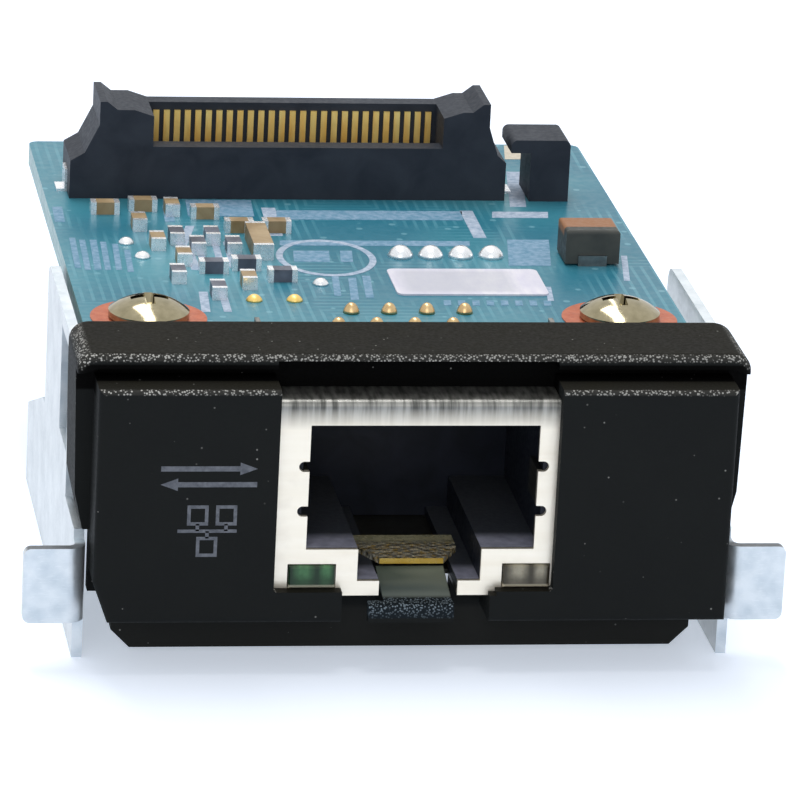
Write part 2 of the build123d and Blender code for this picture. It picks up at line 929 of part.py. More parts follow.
def connector_housing():
    """The board connector's moulding: base, two contact walls and an end tower at each side."""
    left = Pos(connector_left, 0, board_top) * connector_end(left_shoulder, left_tower_width)
    right = Pos(connector_right, 0, board_top) * other_side(connector_end(right_shoulder, right_tower_width))
    base = box(slot_left, slot_right, connector_front, connector_back, board_top, board_top + connector_base)
    front_wall = box(
        slot_left, slot_right, connector_front, connector_front + connector_wall,
        board_top, board_top + front_wall_height,
    )
    back_wall = box(
        slot_left, slot_right, connector_back - connector_wall, connector_back,
        board_top, board_top + back_wall_height,
    )
    return left + right + base + front_wall + back_wall


def connector_blades(wall_face, heading, height):
    """A row of contact blades against a wall's inner face; heading points into the slot."""
    y0, y1 = sorted((wall_face, wall_face + heading * blade_thickness))
    low = board_top + connector_base
    return [
        box(x - blade_width / 2, x + blade_width / 2, y0, y1, low, board_top + height - blade_tip_gap)
        for x in blade_places
    ]


def connector_tails():
    """The flat solder tails behind the connector."""
    return [
        box(
            x - blade_width / 2, x + blade_width / 2, connector_back, connector_back + tail_length,
            board_top, board_top + tail_thickness,
        )
        for x in blade_places
    ]


def hold_down(end, heading):
    """One L-shaped metal hold-down against an end of the connector; heading points away from it."""
    middle = (connector_front + connector_back) / 2
    limits = (middle - hold_down_width / 2, middle + hold_down_width / 2)
    foot_x0, foot_x1 = sorted((end, end + heading * hold_down_foot))
    rise_x0, rise_x1 = sorted((end, end + heading * hold_down_sheet))
    foot = box(foot_x0, foot_x1, *limits, board_top, board_top + hold_down_sheet)
    rise = box(rise_x0, rise_x1, *limits, board_top, board_top + hold_down_height)
    return foot + rise


def hook_post():
    """The post beside the connector with a short arm at its top."""
    left = hook_x - hook_width / 2
    right = hook_x + hook_width / 2
    top = board_top + hook_height
    outline = [
        (left, board_top),
        (right, board_top),
        (right, top),
        (left - hook_arm_reach, top),
        (left - hook_arm_reach, top - hook_arm_height),
        (left, top - hook_arm_height),
    ]
    post = carried_back(outline, front + hook_front_y, front + hook_front_y + hook_depth)
    upper = post.edges().filter_by(Axis.Y).group_by(Axis.Z)[-1]
    return fillet(upper, hook_edge_radius)


def block_capacitor():
    """The moulded block capacitor with softened upper edges."""
    y = front + block_y
    half = block_length / 2 - block_lead_sheet
    body = box(
        block_x - block_width / 2, block_x + block_width / 2, y - half, y + half,
        board_top + block_lead_sheet, board_top + block_height,
    )
    return fillet(body.faces().sort_by(Axis.Z)[-1].edges(), block_edge_radius)


def block_leads():
    """The two flat leads folded up the block's ends and in under it."""
    leads = []
    half = block_length / 2
    for heading in (-1, 1):
        end = front + block_y + heading * half
        inner = end - heading * block_lead_sheet
        under = end - heading * block_lead_height
        rise_y0, rise_y1 = sorted((inner, end))
        foot_y0, foot_y1 = sorted((under, end))
        x0 = block_x - block_lead_width / 2
        x1 = block_x + block_lead_width / 2
        rise = box(x0, x1, rise_y0, rise_y1, board_top, board_top + block_lead_height)
        leads.append(rise + box(x0, x1, foot_y0, foot_y1, board_top, board_top + block_lead_sheet))
    return leads


def chip_body(x, y, across, seat, rise):
    """A small chip's middle; rise is +1 on the board's upper side and -1 on its under side."""
    length = chip_length - 2 * chip_end
    size_x, size_y = (length, chip_width) if across else (chip_width, length)
    z0, z1 = sorted((seat, seat + rise * chip_height))
    return box(x - size_x / 2, x + size_x / 2, y - size_y / 2, y + size_y / 2, z0, z1)


def chip_caps(x, y, across, seat, rise):
    """A small chip's two metal ends."""
    z0, z1 = sorted((seat, seat + rise * chip_height))
    offset = (chip_length - chip_end) / 2
    caps = []
    for step in (-offset, offset):
        cap_x, cap_y = (x + step, y) if across else (x, y + step)
        half_x, half_y = (chip_end / 2, chip_width / 2) if across else (chip_width / 2, chip_end / 2)
        caps.append(box(cap_x - half_x, cap_x + half_x, cap_y - half_y, cap_y + half_y, z0, z1))
    return caps


def chips(upper_shares, lower_places, form):
    """The bodies, or what else form makes, of chips on both sides of the board."""
    upper = [form(*upper_place(x, y), across, board_top, 1) for x, y, across in upper_shares]
    lower = [form(*place, board_bottom, -1) for place in lower_places]
    return upper + lower


def chip_ends():
    """The metal ends of every small chip, and of the diode."""
    upper = upper_capacitor_shares + upper_resistor_shares
    lower = lower_capacitor_places + lower_resistor_places
    ends = [cap for pair in chips(upper, lower, chip_caps) for cap in pair]
    x0 = diode_x - diode_width / 2
    x1 = diode_x + diode_width / 2
    for y0, y1 in diode_end_limits():
        ends.append(box(x0, x1, y0, y1, board_top, board_top + diode_height))
    return ends


def diode_end_limits():
    """The front and back limits of the diode's two metal ends."""
    near = diode_y - diode_length / 2
    far = diode_y + diode_length / 2
    return [(near, near + chip_end), (far - chip_end, far)]


def diode():
    """The long diode's moulded middle."""
    (_, y0), (y1, _) = diode_end_limits()
    return box(
        diode_x - diode_width / 2, diode_x + diode_width / 2, y0, y1, board_top, board_top + diode_height,
    )


def test_pads():
    """The raised test points on the board's upper side."""
    pads = []
    for shares in test_pad_shares:
        pad = extrude(RegularPolygon(test_pad_radius, test_pad_sides), test_pad_height)
        pads.append(Pos(*upper_place(*shares), board_top) * pad)
    return pads


def label_sticker():
    """The blank sticker on the board."""
    plan = Rectangle(sticker_width, sticker_length)
    plan = fillet(plan.vertices(), sticker_corner_radius)
    return Pos(sticker_x, sticker_y, board_top) * extrude(plan, sticker_thickness)


def controller():
    """The network controller's flat package under the board."""
    y = front + controller_y
    half = controller_size / 2
    low = board_bottom - controller_height
    return box(controller_x - half, controller_x + half, y - half, y + half, low, board_bottom)


def controller_leads():
    """The short leads along the controller's four sides."""
    y = front + controller_y
    half = controller_size / 2
    reach = half + controller_lead_length
    low = board_bottom - controller_lead_height
    leads = []
    for offset in evenly(controller_lead_count, controller_lead_pitch, 0):
        start = offset - controller_lead_width / 2
        stop = offset + controller_lead_width / 2
        for inner, outer in ((-reach, -half), (half, reach)):
            leads.append(box(
                controller_x + start, controller_x + stop, y + inner, y + outer, low, board_bottom,
            ))
            leads.append(box(
                controller_x + inner, controller_x + outer, y + start, y + stop, low, board_bottom,
            ))
    return leads


def crystal():
    """The timing crystal: a ceramic base and a narrower lid with cut corners."""
    y = front + crystal_y
    low = board_bottom - crystal_height
    seam = board_bottom - crystal_base_height
    half_x = crystal_length / 2
    half_y = crystal_width / 2
    base = box(crystal_x - half_x, crystal_x + half_x, y - half_y, y + half_y, seam, board_bottom)
    lid = box(
        crystal_x - half_x + crystal_rim, crystal_x + half_x - crystal_rim,
        y - half_y + crystal_rim, y + half_y - crystal_rim, low, seam,
    )
    corners = lid.edges().filter_by(Axis.Z)
    return base + chamfer(corners, crystal_rim)


def memory_chip():
    """The memory chip's moulded body, held off the board by its leads."""
    return box(
        memory_x - memory_width / 2, memory_x + memory_width / 2,
        memory_y - memory_length / 2, memory_y + memory_length / 2,
        board_bottom - memory_height, board_bottom - memory_lead_sheet,
    )


def memory_leads():
    """The gull-wing leads down both long sides of the memory chip."""
    shoulder = memory_width / 2
    knee = shoulder + memory_lead_reach / 2
    foot = shoulder + memory_lead_reach
    body_middle = board_bottom - memory_height / 2
    path = [
        (foot, board_bottom),
        (knee, board_bottom),
        (knee, body_middle),
        (shoulder, body_middle),
    ]
    outline = strip_outline(path, memory_lead_sheet)
    leads = []
    for y in evenly(memory_lead_count, memory_lead_pitch, memory_y):
        lead = carried_back(outline, y - memory_lead_width / 2, y + memory_lead_width / 2)
        leads += [Pos(memory_x, 0, 0) * lead, Pos(memory_x, 0, 0) * other_side(lead)]
    return leads


def power_coils():
    """The square moulded coils under the board, with cut upright corners."""
    coils = []
    for y in evenly(coil_count, coil_spacing, coil_y):
        plan = Rectangle(coil_size, coil_size)
        plan = chamfer(plan.vertices(), coil_corner)
        coils.append(Pos(coil_x, y, board_bottom - coil_height) * extrude(plan, coil_height))
    return coils


def write(name, shape):
    """Write one node, of one solid or of several like ones, to its own file."""
    solids = shape if isinstance(shape, list) else [shape]
    pieces = [solid for piece in solids for solid in piece.solids()]
    whole = pieces[0] if len(pieces) == 1 else Compound(children=pieces)
    whole.label = name
    export_step(whole, os.path.join("parts", name + ".step"))


os.makedirs("parts", exist_ok=True)
back_face = connector_back - connector_wall
front_face = connector_front + connector_wall
controller_capacitors = [controller_place(*entry) for entry in side_capacitor_shares]
lower_capacitor_places = controller_capacitors + crystal_capacitor_places() + coil_capacitor_places()
controller_resistors = [controller_place(*entry) for entry in side_resistor_shares]
lower_resistor_places = controller_resistors + crystal_resistor_places()

write("bezel", bezel())
write("bracket_right", bracket(screw_places[1]))
write("bracket_left", other_side(bracket(-screw_places[0])))
write("circuit_board", board_plate())
write("jack_shell", jack_shell())
write("jack_housing", jack_housing())
write("contact_comb", contact_comb())
write("jack_contacts", jack_contacts())
write("jack_pins", jack_pins())
write("solder_joints", solder_joints())
write("status_lens_left", status_lens(0))
write("status_lens_right", status_lens(1))
write("latch_film", latch_film())
write("screw_left", screw(screw_places[0]))
write("screw_right", screw(screw_places[1]))
write("screw_ring_left", screw_ring(screw_places[0]))
write("screw_ring_right", screw_ring(screw_places[1]))
write("connector_housing", connector_housing())
write("connector_front_blades", connector_blades(front_face, 1, front_wall_height))
write("connector_back_blades", connector_blades(back_face, -1, back_wall_height))
write("connector_tails", connector_tails())
write("connector_hold_downs", [hold_down(connector_left, -1), hold_down(connector_right, 1)])
write("hook_post", hook_post())
write("block_capacitor", block_capacitor())
write("block_leads", block_leads())
write("chip_capacitors", chips(upper_capacitor_shares, lower_capacitor_places, chip_body))
write("chip_resistors", chips(upper_resistor_shares, lower_resistor_places, chip_body))
write("chip_ends", chip_ends())
write("diode", diode())
write("test_pads", test_pads())
write("label_sticker", label_sticker())
write("network_controller", controller())
write("controller_leads", controller_leads())
write("crystal", crystal())
write("memory_chip", memory_chip())
write("memory_leads", memory_leads())
write("power_coils", power_coils())
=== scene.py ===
import json
import math
import bmesh
import bpy
from mathutils import Matrix, Vector


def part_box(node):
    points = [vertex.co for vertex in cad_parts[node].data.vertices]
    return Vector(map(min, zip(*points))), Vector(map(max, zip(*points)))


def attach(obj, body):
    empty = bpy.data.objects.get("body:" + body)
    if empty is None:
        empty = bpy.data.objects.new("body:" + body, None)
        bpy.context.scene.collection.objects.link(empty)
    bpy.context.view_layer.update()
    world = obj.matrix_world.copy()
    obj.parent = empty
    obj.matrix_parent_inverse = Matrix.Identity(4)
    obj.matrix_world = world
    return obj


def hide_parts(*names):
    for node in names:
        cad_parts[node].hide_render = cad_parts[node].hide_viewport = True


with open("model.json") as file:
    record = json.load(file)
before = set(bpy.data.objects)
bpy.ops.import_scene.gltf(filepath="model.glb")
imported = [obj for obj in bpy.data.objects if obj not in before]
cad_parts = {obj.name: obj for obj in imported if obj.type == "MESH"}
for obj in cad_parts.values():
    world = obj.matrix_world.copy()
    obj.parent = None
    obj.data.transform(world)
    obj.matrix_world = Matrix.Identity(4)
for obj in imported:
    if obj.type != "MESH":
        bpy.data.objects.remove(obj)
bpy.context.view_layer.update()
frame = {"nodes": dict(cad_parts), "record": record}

MM = 0.001

# The camera: its turn, height and roll in degrees, how far off it stands, the point that it
# looks at, beside the card's middle and above the floor, and its lens and sensor in millimetres.
VIEW_AZIMUTH = 9.178
VIEW_ELEVATION = 18.352
VIEW_ROLL = 2.939
VIEW_DISTANCE = 299.467 * MM
VIEW_SIDE = -1.185 * MM
VIEW_HEIGHT = 15.119 * MM
VIEW_NEAR = 0.01
LENS = 261.969
SENSOR = 36.0

# The soft boxes: each one's place, its width and length, its power in watts and its colour.
LAMP_AIM = (0, 0, 0)
LAMPS = {
    "key": ((-0.04, 0.14, 0.6), (0.16, 0.5), 2.0, (255, 253, 250)),
    "fill": ((-0.1, -0.6, 0.3), (0.4, 0.4), 0.9, (250, 252, 255)),
    "strip": ((0.02, 0.3, 0.5), (0.03, 0.6), 0.35, (255, 255, 255)),
}
# The ground: how strongly the surround lights the card, the floor's half width, and its own glow.
SURROUND_LEVEL = 0.42
FLOOR_HALF = 2.0
FLOOR_GLOW = 0.47

# The frame's own measures that the added pieces start from.
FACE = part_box("bezel")[0][1]
BOARD_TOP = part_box("circuit_board")[1][2]

# The ink's thickness on the face and on the board, how much higher each next bar on the board
# lies, so that no two share a plane, and how near points are that count as one.
LAYER = 0.01 * MM
SILK_LAYER = 0.015 * MM
SILK_STEP = 0.0002 * MM
MERGE_DISTANCE = LAYER / 10

# Marks for the materials, in millimetres in the row frame. A box is given by two corners.
# The jack: the shell's front and top, the room inside it, where the shell is painted dark as
# shade, and the film's front.
SHELL_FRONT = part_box("jack_shell")[0][1] / MM
SHELL_TOP = 14.82
SHELL_INSIDE_SHADE = ((-6.5, -21.1, 3.9), (7.3, 2.0, 14.4))
FILM_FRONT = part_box("latch_film")[0][1] / MM
# The face piece: the tongue's neck and nose, the undercut below the hood's front edge, which is
# painted near-black as shade, the top of the paler lower lip, and where the painted glints on the
# rounded edges are brightest.
TONGUE_NECK = ((-1.8, -22.4, 3.92), (2.2, -17.5, 6.4))
TONGUE_NOSE = ((-2.3, -22.4, 3.1), (2.3, -21.2, 3.92))
UNDERCUT_SHADE = ((-18.0, -20.6, 14.7), (18.0, -18.9, 16.42))
LIP_TOP = 2.85
EDGE_FRONT = -19.0
EDGE_BACK = -15.0
GLINT_LEFT = -15.0
GLINT_RIGHT = -8.0
# The back face of the brackets' ears. Their sheared upper edges lie ahead of it.
EAR_BACK = -19.7

# How noise is cut off where a material asks for no other range, and its stretch on each axis.
NOISE_LOW = 0.3
NOISE_HIGH = 0.7
EVEN = (1.0, 1.0, 1.0)

# How much wider than its bright middle a speck is, and how coarse the noise that groups specks
# is beside them.
SPECK_FADE = 1.5
SPECK_GROUPS = 0.35

# How the board's tracks wander, and which part of each wave is a track.
TRACK_WANDER = 1.2
TRACK_JOG_SIZE = 0.25
TRACK_LOW = 0.7
TRACK_HIGH = 0.82

# The numbers of a mix node's sockets for its two values and its result, by kind of value.
MIX_SOCKETS = {"RGBA": (6, 7, 2), "FLOAT": (2, 3, 0)}

# The lenses' paler lobes: each one's middle and half width as shares of the lens's width, and
# where a lobe starts and stops to fade as shares of its half width.
LENS_LOBES = ((0.32, 0.2), (0.8, 0.13))
LOBE_CORE_SHARE = 0.4
LOBE_RIM_SHARE = 1.3

# The print on the face, in millimetres in the row frame.
ARROW_X = -10.9
ARROW_Z = 10.95
ARROW_STEP = 0.86
ARROW_LENGTH = 5.0
ARROW_STROKE = 0.28
ARROW_HEAD = 0.9
ARROW_HEAD_HALF = 0.34
SIGN_X = -10.9
SIGN_Z = 7.98
SIGN_BOX = 0.92
SIGN_STROKE = 0.18
SIGN_SPREAD = 2.05
SIGN_LINE = 1.5 * SIGN_SPREAD
SIGN_RISE = 0.86

# The print on the board, in millimetres from the card's middle and from its face:
# each bar's middle, width, length and lean.
SILK_BARS = (
    (-9.60, 25.07, 0.50, 4.92, 1.09), (-9.63, 20.90, 0.50, 3.20, 0.00),
    (-9.03, 22.28, 0.39, 5.20, 0.14), (-8.09, 22.29, 0.39, 5.20, 0.16),
    (-7.48, 22.11, 0.33, 4.83, 0.18), (-4.35, 28.41, 0.79, 5.40, 0.22),
    (6.99, 28.12, 0.74, 5.22, 0.02), (-9.81, 13.58, 0.48, 3.53, 0.24),
    (-8.71, 13.59, 0.43, 3.53, 0.09), (10.59, 35.11, 0.93, 7.07, 0.93),
    (9.98, 30.00, 3.21, 1.18, 0.19), (14.20, 19.91, 0.34, 4.63, 0.68),
    (9.15, 15.19, 0.33, 2.51, 0.26),
)
FAINT_BARS = (
    (-15.94, 22.37, 0.33, 5.56, 0.18), (-15.43, 22.00, 0.33, 5.55, 0.19),
    (-14.85, 22.01, 0.38, 5.55, 0.25), (-14.32, 21.83, 0.33, 5.17, 0.22),
    (-13.71, 21.65, 0.33, 4.80, 0.25), (-13.13, 20.92, 0.33, 4.05, 0.19),
    (1.35, 29.75, 10.57, 1.76, 0.19), (0.90, 24.37, 10.64, 0.95, 0.13),
    (-1.45, 15.98, 0.44, 3.95, 0.38), (-0.61, 16.35, 0.44, 3.96, 0.33),
    (-2.31, 16.51, 0.38, 3.60, 0.32), (9.28, 22.73, 2.36, 4.89, 0.70),
    (-10.01, 29.84, 0.56, 3.10, 0.16), (-7.00, 31.00, 3.73, 3.20, 0.19),
    (-16.20, 29.63, 0.56, 2.90, 0.09), (-2.97, 21.88, 1.99, 2.05, 0.21),
    (-1.03, 21.91, 0.67, 2.05, 0.22),
)
CREAM_BARS = ((12.04, 42.70, 1.79, 2.90, 0.41),)
# The level row of short faint bars, with each one's width, length and lean, and the ring.
FAINT_ROW_X = 3.3
FAINT_ROW_Y = 13.5
FAINT_ROW_PITCH = 0.78
FAINT_ROW_COUNT = 8
FAINT_ROW_BAR = (0.4, 0.9, 0.1)
RING_X = -2.2
RING_Y = 21.6
RING_HALF_WIDTH = 2.75
RING_HALF_DEPTH = 3.4
RING_STROKE = 0.38
RING_STEPS = 64

# The screw heads. Shares are of the head's radius, but the rim's is of the head's height, the
# recess's top and floor are of its reach, and its floor's width is of its width.
HEAD_STEPS = 72
HEAD_RIM_SHARE = 0.34
HEAD_CHAMFER_SHARE = 0.04
SHANK_SHARE = 0.58
DOME_RINGS = 12
RECESS_SHARE = 0.56
RECESS_TOP_SHARE = 1.3
RECESS_FLOOR_SHARE = 0.55
RECESS_FLOOR_WIDTH_SHARE = 0.8
RECESS_WIDTH = 0.52 * MM
RECESS_DEPTH = 0.62 * MM
SHARP_ANGLE = 35

# The solder: each drop's profile as shares of its radius and its rise, the rises, which joints
# are the lights' wider ones, and the stretch across the board where the test pads are golden.
SOLDER_STEPS = 28
SOLDER_PROFILE = ((1.0, 0.0), (0.93, 0.28), (0.74, 0.6), (0.52, 0.84), (0.3, 0.97), (0.0, 1.0))
LIGHT_SOLDER_RISE = 0.62 * MM
SIGNAL_SOLDER_RISE = 0.55 * MM
PAD_DROP_RISE = 0.34 * MM
WIDE_JOINT_SHARE = 0.8
GOLD_PADS_FROM = -11.0 * MM
GOLD_PADS_TO = -4.2 * MM


def tint(red, green, blue):
    """A colour as it is seen on screen, from 0 to 255, made linear by the sRGB curve."""
    def linear(level):
        share = level / 255
        return share / 12.92 if share <= 0.04045 else ((share + 0.055) / 1.055) ** 2.4
    return linear(red), linear(green), linear(blue), 1.0


class Nodes:
    """Short ways to add nodes to a tree and to join them."""

    def __init__(self, tree):
        self.tree = tree

    def join(self, output, socket):
        """Joins an output to a socket."""
        self.tree.links.new(output, socket)

    def fill(self, socket, value):
        """Joins an output to a socket, or sets it where the value is a plain one."""
        if isinstance(value, bpy.types.NodeSocket):
            self.join(value, socket)
        else:
            socket.default_value = value

    def node(self, kind, levels=None, **settings):
        """A new node with its settings, and its sockets filled by name or number."""
        made = self.tree.nodes.new(kind)
        for name, value in settings.items():
            setattr(made, name, value)
        for socket, value in (levels or {}).items():
            self.fill(made.inputs[socket], value)
        return made

    def sums(self, operation, first, second=0.0):
        """What a math operation makes of two values."""
        made = self.node("ShaderNodeMath", {0: first, 1: second}, operation=operation)
        return made.outputs["Value"]

    def times(self, *factors):
        """The product of several values."""
        product = factors[0]
        for factor in factors[1:]:
            product = self.sums("MULTIPLY", product, factor)
        return product

    def spread(self, value, low, high, to_low=0.0, to_high=1.0):
        """The range from low to high carried over to another one, and cut off at its ends."""
        return self.node("ShaderNodeMapRange", {
            "Value": value, "From Min": low, "From Max": high, "To Min": to_low, "To Max": to_high,
        }).outputs["Result"]

    def looked_at(self):
        """1 where the camera looks straight at a surface, or through a mirror or a lens."""
        path = self.node("ShaderNodeLightPath").outputs
        seen = self.sums("MAXIMUM", path["Is Camera Ray"], path["Is Glossy Ray"])
        return self.sums("MAXIMUM", seen, path["Is Transmission Ray"])


class Look(Nodes):
    """A material in the making: its shader, and the patterns that dress it."""

    def __init__(self, name, **settings):
        self.material = bpy.data.materials.new(name)
        self.material.use_nodes = True
        super().__init__(self.material.node_tree)
        self.shader = self.tree.nodes["Principled BSDF"]
        for socket, value in settings.items():
            self.shader.inputs[socket.replace("_", " ")].default_value = value
        self.place = self.node("ShaderNodeTexCoord").outputs["Object"]

    def grid(self, across=1.0, along=1.0, up=1.0):
        """Object coordinates with so many units to the millimetre on each axis."""
        units = (across / MM, along / MM, up / MM)
        made = self.node("ShaderNodeVectorMath", {0: self.place, 1: units}, operation="MULTIPLY")
        return made.outputs["Vector"]

    def noise(self, per_mm, detail=2.0, stretch=EVEN, roughness=0.5, bend=0.0):
        """Soft noise, with so many spots to the millimetre."""
        return self.node("ShaderNodeTexNoise", {
            "Vector": self.grid(*[per_mm * share for share in stretch]), "Scale": 1.0,
            "Detail": detail, "Roughness": roughness, "Distortion": bend,
        }).outputs["Fac"]

    def patches(
        self, per_mm, detail=2.0, stretch=EVEN, low=NOISE_LOW, high=NOISE_HIGH,
        to_low=0.0, to_high=1.0, **settings,
    ):
        """Noise spread over a range, so that it is flat below its low and above its high."""
        return self.spread(
            self.noise(per_mm, detail, stretch, **settings), low, high, to_low, to_high,
        )

    def cells(self, per_mm, scatter=1.0):
        """How far each place is from its cell's middle, with so many cells to the millimetre."""
        return self.node("ShaderNodeTexVoronoi", {
            "Vector": self.grid(per_mm, per_mm, per_mm), "Scale": 1.0, "Randomness": scatter,
        }, feature="F1").outputs["Distance"]

    def mix(self, share, first, second, kind="RGBA"):
        """One colour, or one plain value, turning into another."""
        one, other, result = MIX_SOCKETS[kind]
        levels = {"Factor": share, one: first, other: second}
        return self.node("ShaderNodeMix", levels, data_type=kind).outputs[result]

    def over(self, base, colour, mask, share=1.0):
        """A colour laid over the base where the mask is 1, as dense as its share."""
        if share != 1.0:
            mask = self.times(mask, share)
        return self.mix(mask, base, colour)

    def axis(self, name):
        """One axis of the place on the object, in millimetres."""
        return self.node("ShaderNodeSeparateXYZ", {0: self.grid()}).outputs[name]

    def heading(self, name):
        """One axis of the surface's direction."""
        normal = self.node("ShaderNodeNewGeometry").outputs["Normal"]
        return self.node("ShaderNodeSeparateXYZ", {0: normal}).outputs[name]

    def along(self, name, low, high, to_low=0.0, to_high=1.0):
        """A share that changes between two millimetre marks on one axis."""
        return self.spread(self.axis(name), low, high, to_low, to_high)

    def facing(self, name, low, high, to_low=0.0, to_high=1.0):
        """A share that changes as the surface turns to the positive end of an axis."""
        return self.spread(self.heading(name), low, high, to_low, to_high)

    def square_to(self, name, low, high):
        """1 where the surface faces either end of an axis."""
        return self.spread(self.sums("ABSOLUTE", self.heading(name)), low, high)

    def between(self, name, low, high, soft=0.05):
        """1 where the place on the object lies between two millimetre marks on one axis."""
        value = self.axis(name)
        above = self.spread(value, low - soft, low + soft)
        below = self.spread(value, high - soft, high + soft, 1.0, 0.0)
        return self.times(above, below)

    def within(self, box):
        """1 inside a box between two corners in millimetres."""
        sides = [self.between(name, low, high) for name, low, high in zip("XYZ", *box)]
        return self.times(*sides)

    def turned(self):
        """How far the surface is off the three axes: 0 on a square face, most on a round edge."""
        level = 0.0
        for name in "XYZ":
            level = self.sums("MAXIMUM", level, self.sums("ABSOLUTE", self.heading(name)))
        return self.sums("SUBTRACT", 1.0, level)

    def specks(self, per_mm, size, low, high):
        """Fine bright grains, missing where slow noise is low and thick where it is high."""
        grain = self.spread(self.cells(per_mm), size, SPECK_FADE * size, 1.0, 0.0)
        return self.times(grain, self.patches(SPECK_GROUPS * per_mm, low=low, high=high))

    def tracks(self, per_mm, turn):
        """Parallel lines with jogs, at a turn in degrees."""
        turned = self.node("ShaderNodeVectorRotate", {
            "Vector": self.grid(), "Angle": math.radians(turn),
        }, rotation_type="Z_AXIS")
        wave = self.node("ShaderNodeTexWave", {
            "Vector": turned.outputs["Vector"], "Scale": per_mm,
            "Distortion": TRACK_WANDER, "Detail": 1.0, "Detail Scale": TRACK_JOG_SIZE,
        }, wave_type="BANDS", bands_direction="X", wave_profile="SIN")
        return self.spread(wave.outputs["Fac"], TRACK_LOW, TRACK_HIGH)

    def colour(self, value):
        """Gives the shader its colour."""
        self.fill(self.shader.inputs["Base Color"], value)

    def rough(self, value):
        """Gives the shader its roughness."""
        self.fill(self.shader.inputs["Roughness"], value)

    def worn(self, smoothest, roughest, per_mm, detail=2.0, stretch=EVEN):
        """Roughness that drifts between two levels over the surface."""
        self.rough(self.patches(per_mm, detail, stretch, to_low=smoothest, to_high=roughest))

    def bump(self, height, strength, depth):
        """Joins a height to the shader's normal, over any bump made before."""
        levels = {"Strength": strength, "Distance": depth, "Height": height}
        before = self.shader.inputs["Normal"].links
        if before:
            levels["Normal"] = before[0].from_socket
        made = self.node("ShaderNodeBump", levels)
        self.join(made.outputs["Normal"], self.shader.inputs["Normal"])


def bezel_plastic():
    """Charcoal moulding: smooth flats, grained rounded edges, a glossy tongue, all with painted
    light and shade.
    """
    look = Look("bezel_plastic", Specular_IOR_Level=0.036)
    # Painted shade: upward faces get a darker, browner colour than the front faces.
    base = look.mix(look.facing("Z", 0.5, 0.95), tint(33, 35, 35), tint(29, 28, 23))
    base = look.over(base, tint(27, 28, 30), look.patches(per_mm=0.35, detail=3.0), share=0.25)
    lip = look.along("Z", LIP_TOP - 0.3, LIP_TOP, to_low=1.0, to_high=0.0)
    base = look.over(base, tint(43, 44, 43), lip)
    # Painted shade: the undercut below the hood's front edge is near-black.
    base = look.over(base, tint(5, 5, 5), look.within(UNDERCUT_SHADE))
    # A painted highlight on the rounded edges that turn a little upward.
    edge = look.times(look.spread(look.turned(), 0.02, 0.1), look.facing("Z", 0.06, 0.3))
    base = look.over(base, tint(62, 62, 60), edge, share=0.7)
    # Dust, and painted glints on the rounded edges.
    base = look.over(base, tint(190, 190, 186), dust_and_painted_glints(look, edge))
    neck = look.within(TONGUE_NECK)
    # A painted sheen: the tongue's slope is pale grey-green, lightened against the shade it lies
    # in.
    base = look.over(base, tongue_slope_sheen(look), neck)
    look.colour(look.over(base, tongue_nose(look), look.within(TONGUE_NOSE)))
    matte = look.patches(per_mm=6.0, detail=3.0, to_low=0.5, to_high=0.68)
    look.rough(look.mix(neck, matte, 0.25, "FLOAT"))
    look.bump(look.noise(per_mm=4.6, detail=3.0, roughness=0.6), strength=0.3, depth=0.04 * MM)
    look.bump(look.times(look.cells(per_mm=5.2), edge), strength=0.6, depth=0.05 * MM)
    return look.material


def dust_and_painted_glints(look, edge):
    """A little dust all over, and painted glints on the rounded edges, brightest at front left."""
    dust = look.times(look.specks(per_mm=1.3, size=0.05, low=0.45, high=0.6), 0.5)
    ahead = look.along("Y", EDGE_FRONT, EDGE_BACK, to_low=1.0, to_high=0.4)
    left = look.along("X", GLINT_LEFT, GLINT_RIGHT, to_low=1.0, to_high=0.72)
    fine = look.specks(per_mm=7.2, size=0.3, low=0.1, high=0.36)
    return look.sums("MAXIMUM", dust, look.times(fine, edge, look.times(ahead, left)))


def tongue_slope_sheen(look):
    """The tongue's glossy slope, painted pale grey-green as its sheen and lightened against the
    shade it lies in, greyer at its foot.
    """
    foot = TONGUE_NECK[0][2]
    shade = look.patches(per_mm=0.5, detail=1.0, stretch=(0.3, 1.0, 3.0), low=0.4, high=0.6)
    slope = look.mix(shade, tint(120, 130, 112), tint(176, 182, 158))
    lower = look.along("Z", foot, foot + 0.8, to_low=0.65, to_high=0.0)
    return look.over(slope, tint(100, 114, 124), lower)


def tongue_nose(look):
    """The tongue's nose, with pale dots that thin out toward its foot."""
    low, high = TONGUE_NOSE[0][2] + 0.1, TONGUE_NOSE[1][2] - 0.2
    upper = look.along("Z", low, high, to_low=0.25, to_high=1.0)
    dots = look.times(look.specks(per_mm=8.4, size=0.3, low=0.15, high=0.45), upper)
    return look.mix(dots, tint(30, 36, 41), tint(132, 146, 156))


def galvanised_steel():
    """Zinc-coated sheet: pale blue-grey spangle, faint scuffs, dark sheared edges on the ears."""
    look = Look("galvanised_steel", Metallic=0.75, Specular_IOR_Level=0.5)
    spangle = look.times(look.spread(look.cells(per_mm=0.9), 0.1, 0.7), 0.4)
    level = look.spread(look.sums("ADD", spangle, look.noise(per_mm=1.1, detail=4.0)), 0.4, 1.0)
    base = look.mix(level, tint(193, 204, 212), tint(219, 226, 231))
    scuff = look.patches(
        per_mm=2.2, detail=5.0, stretch=(1.0, 1.0, 5.0), low=0.55, high=0.75, roughness=0.65,
    )
    base = look.over(base, tint(232, 237, 242), scuff, share=0.5)
    wall = look.mix(look.patches(per_mm=0.45, detail=4.0), tint(198, 202, 203), tint(218, 221, 221))
    base = look.over(base, wall, look.square_to("X", 0.6, 0.9))
    ahead = look.along("Y", EAR_BACK, EAR_BACK + 0.4, to_low=1.0, to_high=0.0)
    sheared = look.times(look.facing("Z", 0.6, 0.9), ahead)
    look.colour(look.over(base, tint(104, 108, 112), sheared))
    look.worn(0.32, 0.52, per_mm=3.5, detail=3.0)
    look.bump(look.noise(per_mm=2.4, detail=4.0), strength=0.15, depth=0.04 * MM)
    return look.material


